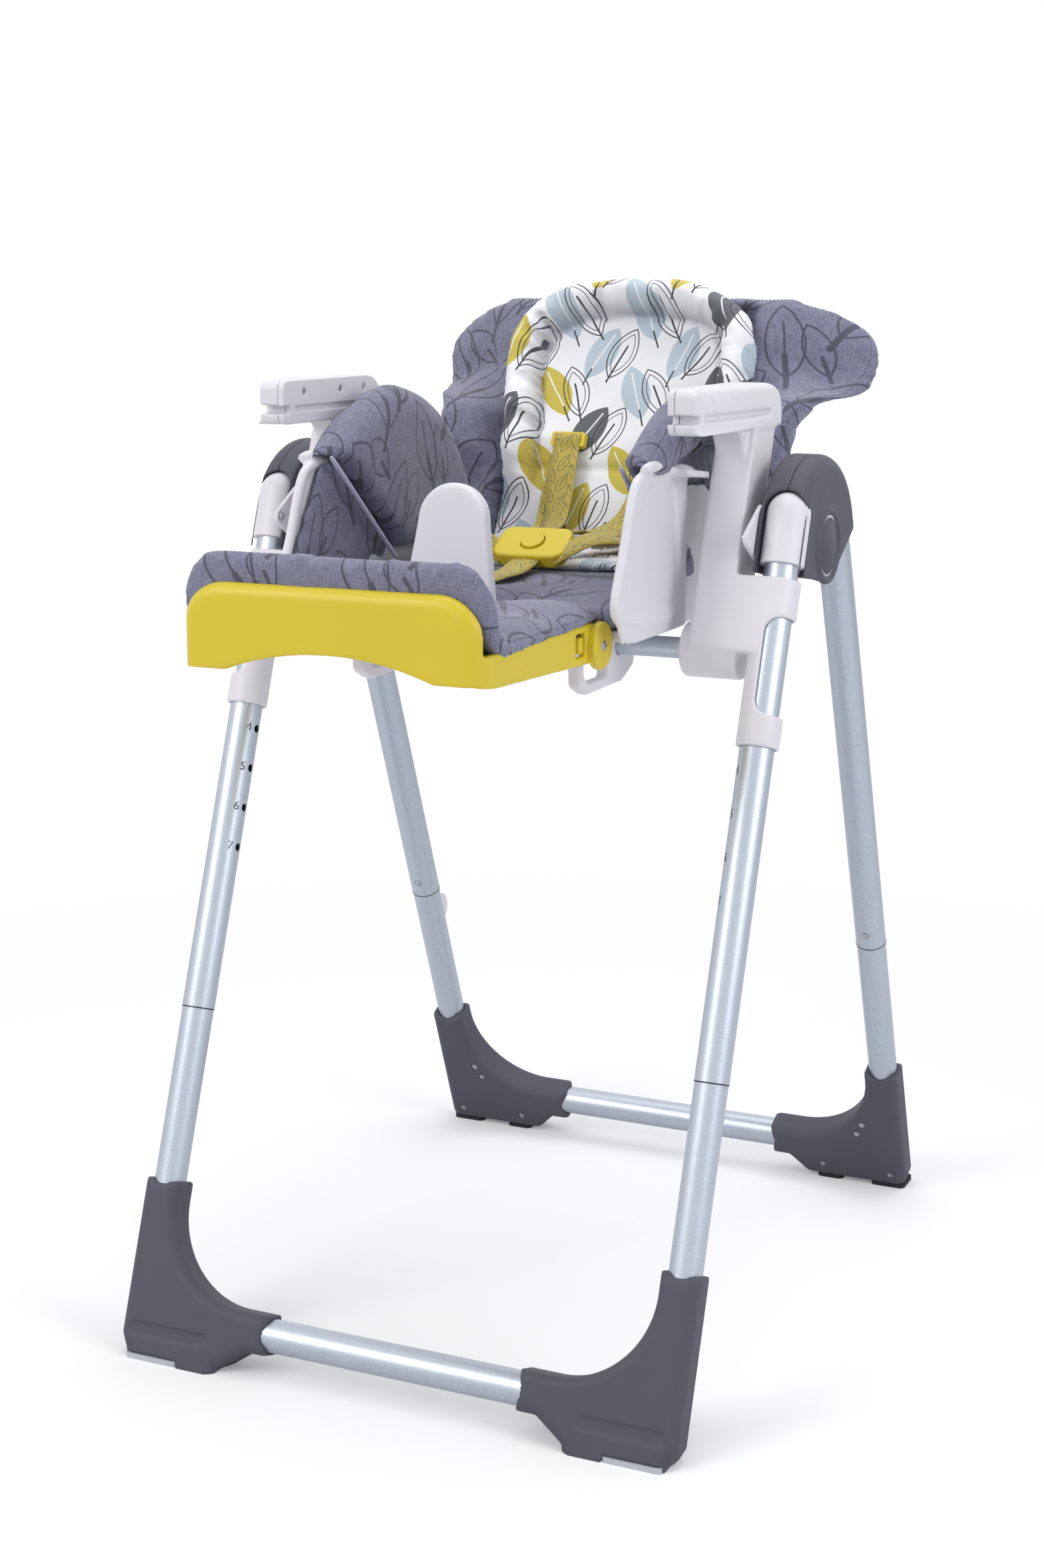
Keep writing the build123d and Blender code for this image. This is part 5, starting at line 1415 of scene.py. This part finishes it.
# %% [markdown]
# ## Stitches, screws and snaps
#
# Small things that repeat are placed by Geometry Nodes. One tree resamples a line and sets a grain-shaped
# stitch on every point along it; another sets a domed head on every given point, turned to face outwards.
# The lines come from the flat cuts: a row runs a few millimetres inside the seam and is laid on the swollen
# pad. Each result is turned into a plain mesh, so that the piece exports like any other.

# %% Trees for rows and heads
def open_tree(name, inputs):
    """A Geometry Nodes tree with a geometry input, the named inputs and a geometry output."""
    tree = bpy.data.node_groups.new(name, "GeometryNodeTree")
    tree.interface.new_socket("Geometry", in_out="INPUT", socket_type="NodeSocketGeometry")
    for label, kind in inputs:
        tree.interface.new_socket(label, in_out="INPUT", socket_type="NodeSocket" + kind)
    tree.interface.new_socket("Geometry", in_out="OUTPUT", socket_type="NodeSocketGeometry")
    return tree, tree.nodes.new("NodeGroupInput")


def scatter(tree, given, points, shape, facing, wide, tall):
    """Sets the shape on the points, turned to facing and scaled by two inputs, and ends the tree."""
    turned = add(tree, "FunctionNodeAlignRotationToVector", {"axis": "Z"}, Vector=facing)
    extent = add(tree, "ShaderNodeCombineXYZ", X=given.outputs[wide], Y=given.outputs[wide],
                 Z=given.outputs[tall])
    placed = add(tree, "GeometryNodeInstanceOnPoints", Points=points, Instance=shape.outputs["Mesh"],
                 Rotation=turned.outputs[0], Scale=extent.outputs[0])
    real = add(tree, "GeometryNodeRealizeInstances", Geometry=placed.outputs[0])
    even = add(tree, "GeometryNodeSetShadeSmooth", Geometry=real.outputs[0])
    dressed = add(tree, "GeometryNodeSetMaterial", Geometry=even.outputs[0], Material=given.outputs["Finish"])
    add(tree, "NodeGroupOutput", Geometry=dressed.outputs[0])


stitch_tree, given = open_tree("stitch_row", [("Spacing", "Float"), ("Length", "Float"), ("Thread", "Float"),
                                              ("Finish", "Material")])
line = add(stitch_tree, "GeometryNodeMeshToCurve", Mesh=given.outputs["Geometry"])
spaced = add(stitch_tree, "GeometryNodeResampleCurve", {"mode": "LENGTH"}, Curve=line.outputs[0],
             Length=given.outputs["Spacing"])
grain = add(stitch_tree, "GeometryNodeMeshUVSphere", Segments=6, Rings=4, Radius=0.5)
tangent = add(stitch_tree, "GeometryNodeInputTangent")
scatter(stitch_tree, given, spaced.outputs[0], grain, tangent.outputs[0], "Thread", "Length")

head_tree, given = open_tree("domed_heads", [("Radius", "Float"), ("Height", "Float"),
                                             ("Finish", "Material")])
dome = add(head_tree, "GeometryNodeMeshUVSphere", Segments=24, Rings=12, Radius=1.0)
facing = add(head_tree, "GeometryNodeInputNamedAttribute", {"data_type": "FLOAT_VECTOR"}, Name="facing")
scatter(head_tree, given, given.outputs["Geometry"], dome, facing.outputs[0], "Radius", "Height")


def grown(name, mesh, tree, values, finish, slot, body):
    """Runs the tree on the mesh, keeps the result as a plain piece and lets it ride on the body."""
    piece = linked(name, mesh)
    modifier = piece.modifiers.new("grow", "NODES")
    modifier.node_group = tree
    names = {item.name: item.identifier for item in tree.interface.items_tree if item.in_out == "INPUT"}
    for label, value in {**values, "Finish": finishes[finish]}.items():
        modifier[names[label]] = value
    settled(piece)
    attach(piece, body)
    print(name, len(piece.data.polygons), "faces")


def nearest_on(piece, spots):
    """The nearest places on a piece to the spots, each with the direction that the surface faces there."""
    surface = BVHTree.FromObject(piece, bpy.context.evaluated_depsgraph_get())
    return [surface.find_nearest(spot)[:2] for spot in spots]


def seam_run(piece, outline, place_at, heights, inset, keep=lambda u, v: True):
    """Runs of points on the front of a pad, inset from its cut, where keep(u, v) holds."""
    surface = BVHTree.FromObject(piece, bpy.context.evaluated_depsgraph_get())
    count = len(outline)
    area = sum(outline[i][0] * outline[i - 1][1] - outline[i - 1][0] * outline[i][1] for i in range(count))
    runs, run = [], []
    for i in range(count + 1):
        a, p, b = (Vector(outline[(i + k) % count]) for k in (-2, 0, 2))
        ahead = (b - a).normalized()
        u, v = p + Vector((-ahead.y, ahead.x)) * math.copysign(inset, -area)
        if keep(u, v):
            spot, normal = surface.find_nearest(place_at(u, v, heights(u, v, inset)[0]))[:2]
            run.append(spot + normal * STITCH_LIFT)
        elif run:
            runs.append(run)
            run = []
    return runs + [run] if run else runs


def stitches(name, runs, body):
    """A row of stitches along each run of points."""
    points, edges = [], []
    for run in runs:
        edges += [(len(points) + i, len(points) + i + 1) for i in range(len(run) - 1)]
        points += run
    mesh = bpy.data.meshes.new(name)
    mesh.from_pydata(points, edges, [])
    grown(name, mesh, stitch_tree, THREAD_ROW, "thread", "grey_fabric", body)


# %% Rows of stitches
plain_cloth("thread", rgb(70, 70, 88))
THREAD_ROW = {"Spacing": 0.0042, "Length": 0.0030, "Thread": 0.0007}
STITCH_LIFT = 0.0002
RIDGE = [(-0.135 + 0.004 * i, 0.006) for i in range(68)]
back_seam = seam_run(back_pad, back_outline, on_back, back_pad_heights, inset=0.011,
                     keep=lambda u, v: v > 0.10)
stitches("backrest_stitches", back_seam, "backrest")
calf_seam = seam_run(calf_cover, calf_cut, on_calf, calf_heights, inset=0.006,
                     keep=lambda u, v: v > 0.055)
stitches("calf_cover_stitches", calf_seam, "calf_rest")
for side, tag in SIDES:
    pad = bpy.data.objects["side_pad_" + tag]
    crest = nearest_on(pad, [hood_place(side)(y, v, 0.003) for y, v in RIDGE])
    runs = [[spot + normal * STITCH_LIFT for spot, normal in crest]]
    runs += seam_run(pad, hood_outline, hood_place(side), hood_heights, inset=0.005)
    stitches("side_pad_stitches_" + tag, runs, "carriage")


# %% Snaps and screw heads
def heads(name, spots, finish, body, radius, height):
    """Domed heads at spots of (place, outward direction)."""
    mesh = bpy.data.meshes.new(name)
    mesh.from_pydata([spot for spot, _ in spots], [], [])
    facing = mesh.attributes.new("facing", "FLOAT_VECTOR", "POINT")
    for value, (_, outward) in zip(facing.data, spots):
        value.vector = outward
    grown(name, mesh, head_tree, {"Radius": radius, "Height": height}, finish, finish, body)


snaps = [nearest_on(bpy.data.objects["side_pad_" + tag], [(side * 0.190, -0.034, 0.860)])[0]
         for side, tag in SIDES]
heads("hood_snaps", snaps, "black_plastic", "carriage", radius=0.0065, height=0.0030)
pivot_y, pivot_z = joints["calf_rest_tilt"]["pos_m"][1:]
CAP_RADIUS = 0.0225
cap_x = max(abs(v.co.x) for name in ("calf_rest_frame", "calf_rest_pivots") for v in nodes[name].data.vertices
            if math.hypot(v.co.y - pivot_y, v.co.z - pivot_z) < CAP_RADIUS)
# The small black domes set on the screw heads are painted shade: they stand for the dark of each screw's
# drive recess.
for name, out, finish, radius, height in (("calf_rest_screws", 0, "steel", 0.0048, 0.0018),
                                          ("calf_rest_recess_shades", 0.0009, "black_plastic", 0.0017, 0.0012)):
    heads(name, [((side * (cap_x + out), pivot_y, pivot_z), (side, 0, 0)) for side, _ in SIDES],
          finish, "calf_rest", radius, height)

# %% [markdown]
# ## Joints and numbers on the legs
#
# Each leg is two tubes: the lower one is pushed into the upper one, and a thin dark line shows where. The
# front legs carry a column of holes for the seat's height, with a number beside each. The numbers are flat
# letters wrapped round the tube by turning their sideways distance into an angle.


# %% Lines where the tubes meet
END_DEPTH = 0.0015
LINE_RADIUS = 0.0007
LINE_SINK = 0.0003
LINE_BELOW = 0.0002


def tube_ends(name):
    """Centre of a leg tube's lower end, the direction up the tube, and its radius."""
    points = [v.co for v in nodes[name].data.vertices]
    low, high = min(points, key=lambda p: p.z), max(points, key=lambda p: p.z)
    guess = (high - low).normalized()
    for _ in range(3):
        reach = [p.dot(guess) for p in points]
        below, above = min(reach) + END_DEPTH, max(reach) - END_DEPTH
        first = [p for p, along in zip(points, reach) if along < below]
        last = [p for p, along in zip(points, reach) if along > above]
        bottom, top = (Vector([(min(p[i] for p in rim) + max(p[i] for p in rim)) / 2 for i in range(3)])
                       for rim in (first, last))
        guess = (top - bottom).normalized()
    radius = max((p - bottom - guess * (p - bottom).dot(guess)).length for p in first)
    return bottom, guess, radius


for legs in ("front", "rear"):
    mesh = bmesh.new()
    for _, tag in SIDES:
        bottom, ahead, radius = tube_ends(f"{legs}_leg_upper_{tag}")
        side = Vector((1, 0, 0))
        up = ahead.cross(side)
        turns = [k * math.pi / 20 for k in range(41)]
        low = bottom - ahead * LINE_BELOW
        bar(mesh, [low + (side * math.cos(a) + up * math.sin(a)) * (radius - LINE_SINK) for a in turns],
            LINE_RADIUS)
    lines = dress(built(legs + "_leg_lines", mesh), "black_plastic", levels=0)
    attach(lines, legs + "_frame")
print("leg radius:", round(radius, 4))

# %% Numbers beside the height holes
FIRST_HOLE_UP = 0.4021
HOLE_PITCH = 0.040
NUMBER_SIZE = 0.0085 * 1.4
PRINT_THICKNESS = 0.00015
NUMBER_TURN = math.radians(38)
HOLES = 7
moulded("number_ink", rgb(72, 74, 84), roughness=0.5)
mesh = bmesh.new()
for side, tag in SIDES:
    bottom, up, radius = tube_ends("front_leg_upper_" + tag)
    inward = Vector((-side, 0, 0))
    front = up.cross(Vector((-1, 0, 0))).normalized()
    for i in range(HOLES):
        curve = bpy.data.curves.new("number", "FONT")
        curve.body = str(i + 1)
        curve.size = NUMBER_SIZE
        curve.align_x, curve.align_y = "CENTER", "CENTER"
        letter = bpy.data.objects.new("number", curve)
        flat = bpy.data.meshes.new_from_object(letter)
        base = bottom + up * (FIRST_HOLE_UP - HOLE_PITCH * i)
        for v in flat.vertices:
            turn = NUMBER_TURN + side * v.co.x / radius
            round_leg = inward * math.cos(turn) + front * math.sin(turn)
            v.co = base + up * v.co.y + round_leg * (radius + PRINT_THICKNESS)
        mesh.from_mesh(flat)
        bpy.data.objects.remove(letter)
        bpy.data.curves.remove(curve)
bmesh.ops.subdivide_edges(mesh, edges=[e for e in mesh.edges if e.calc_length() > 0.003], cuts=1)
numbers = dress(built("height_numbers", mesh, outwards=False), "number_ink", levels=0)
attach(numbers, "front_frame")
print("numbers:", len(numbers.data.polygons), "faces")
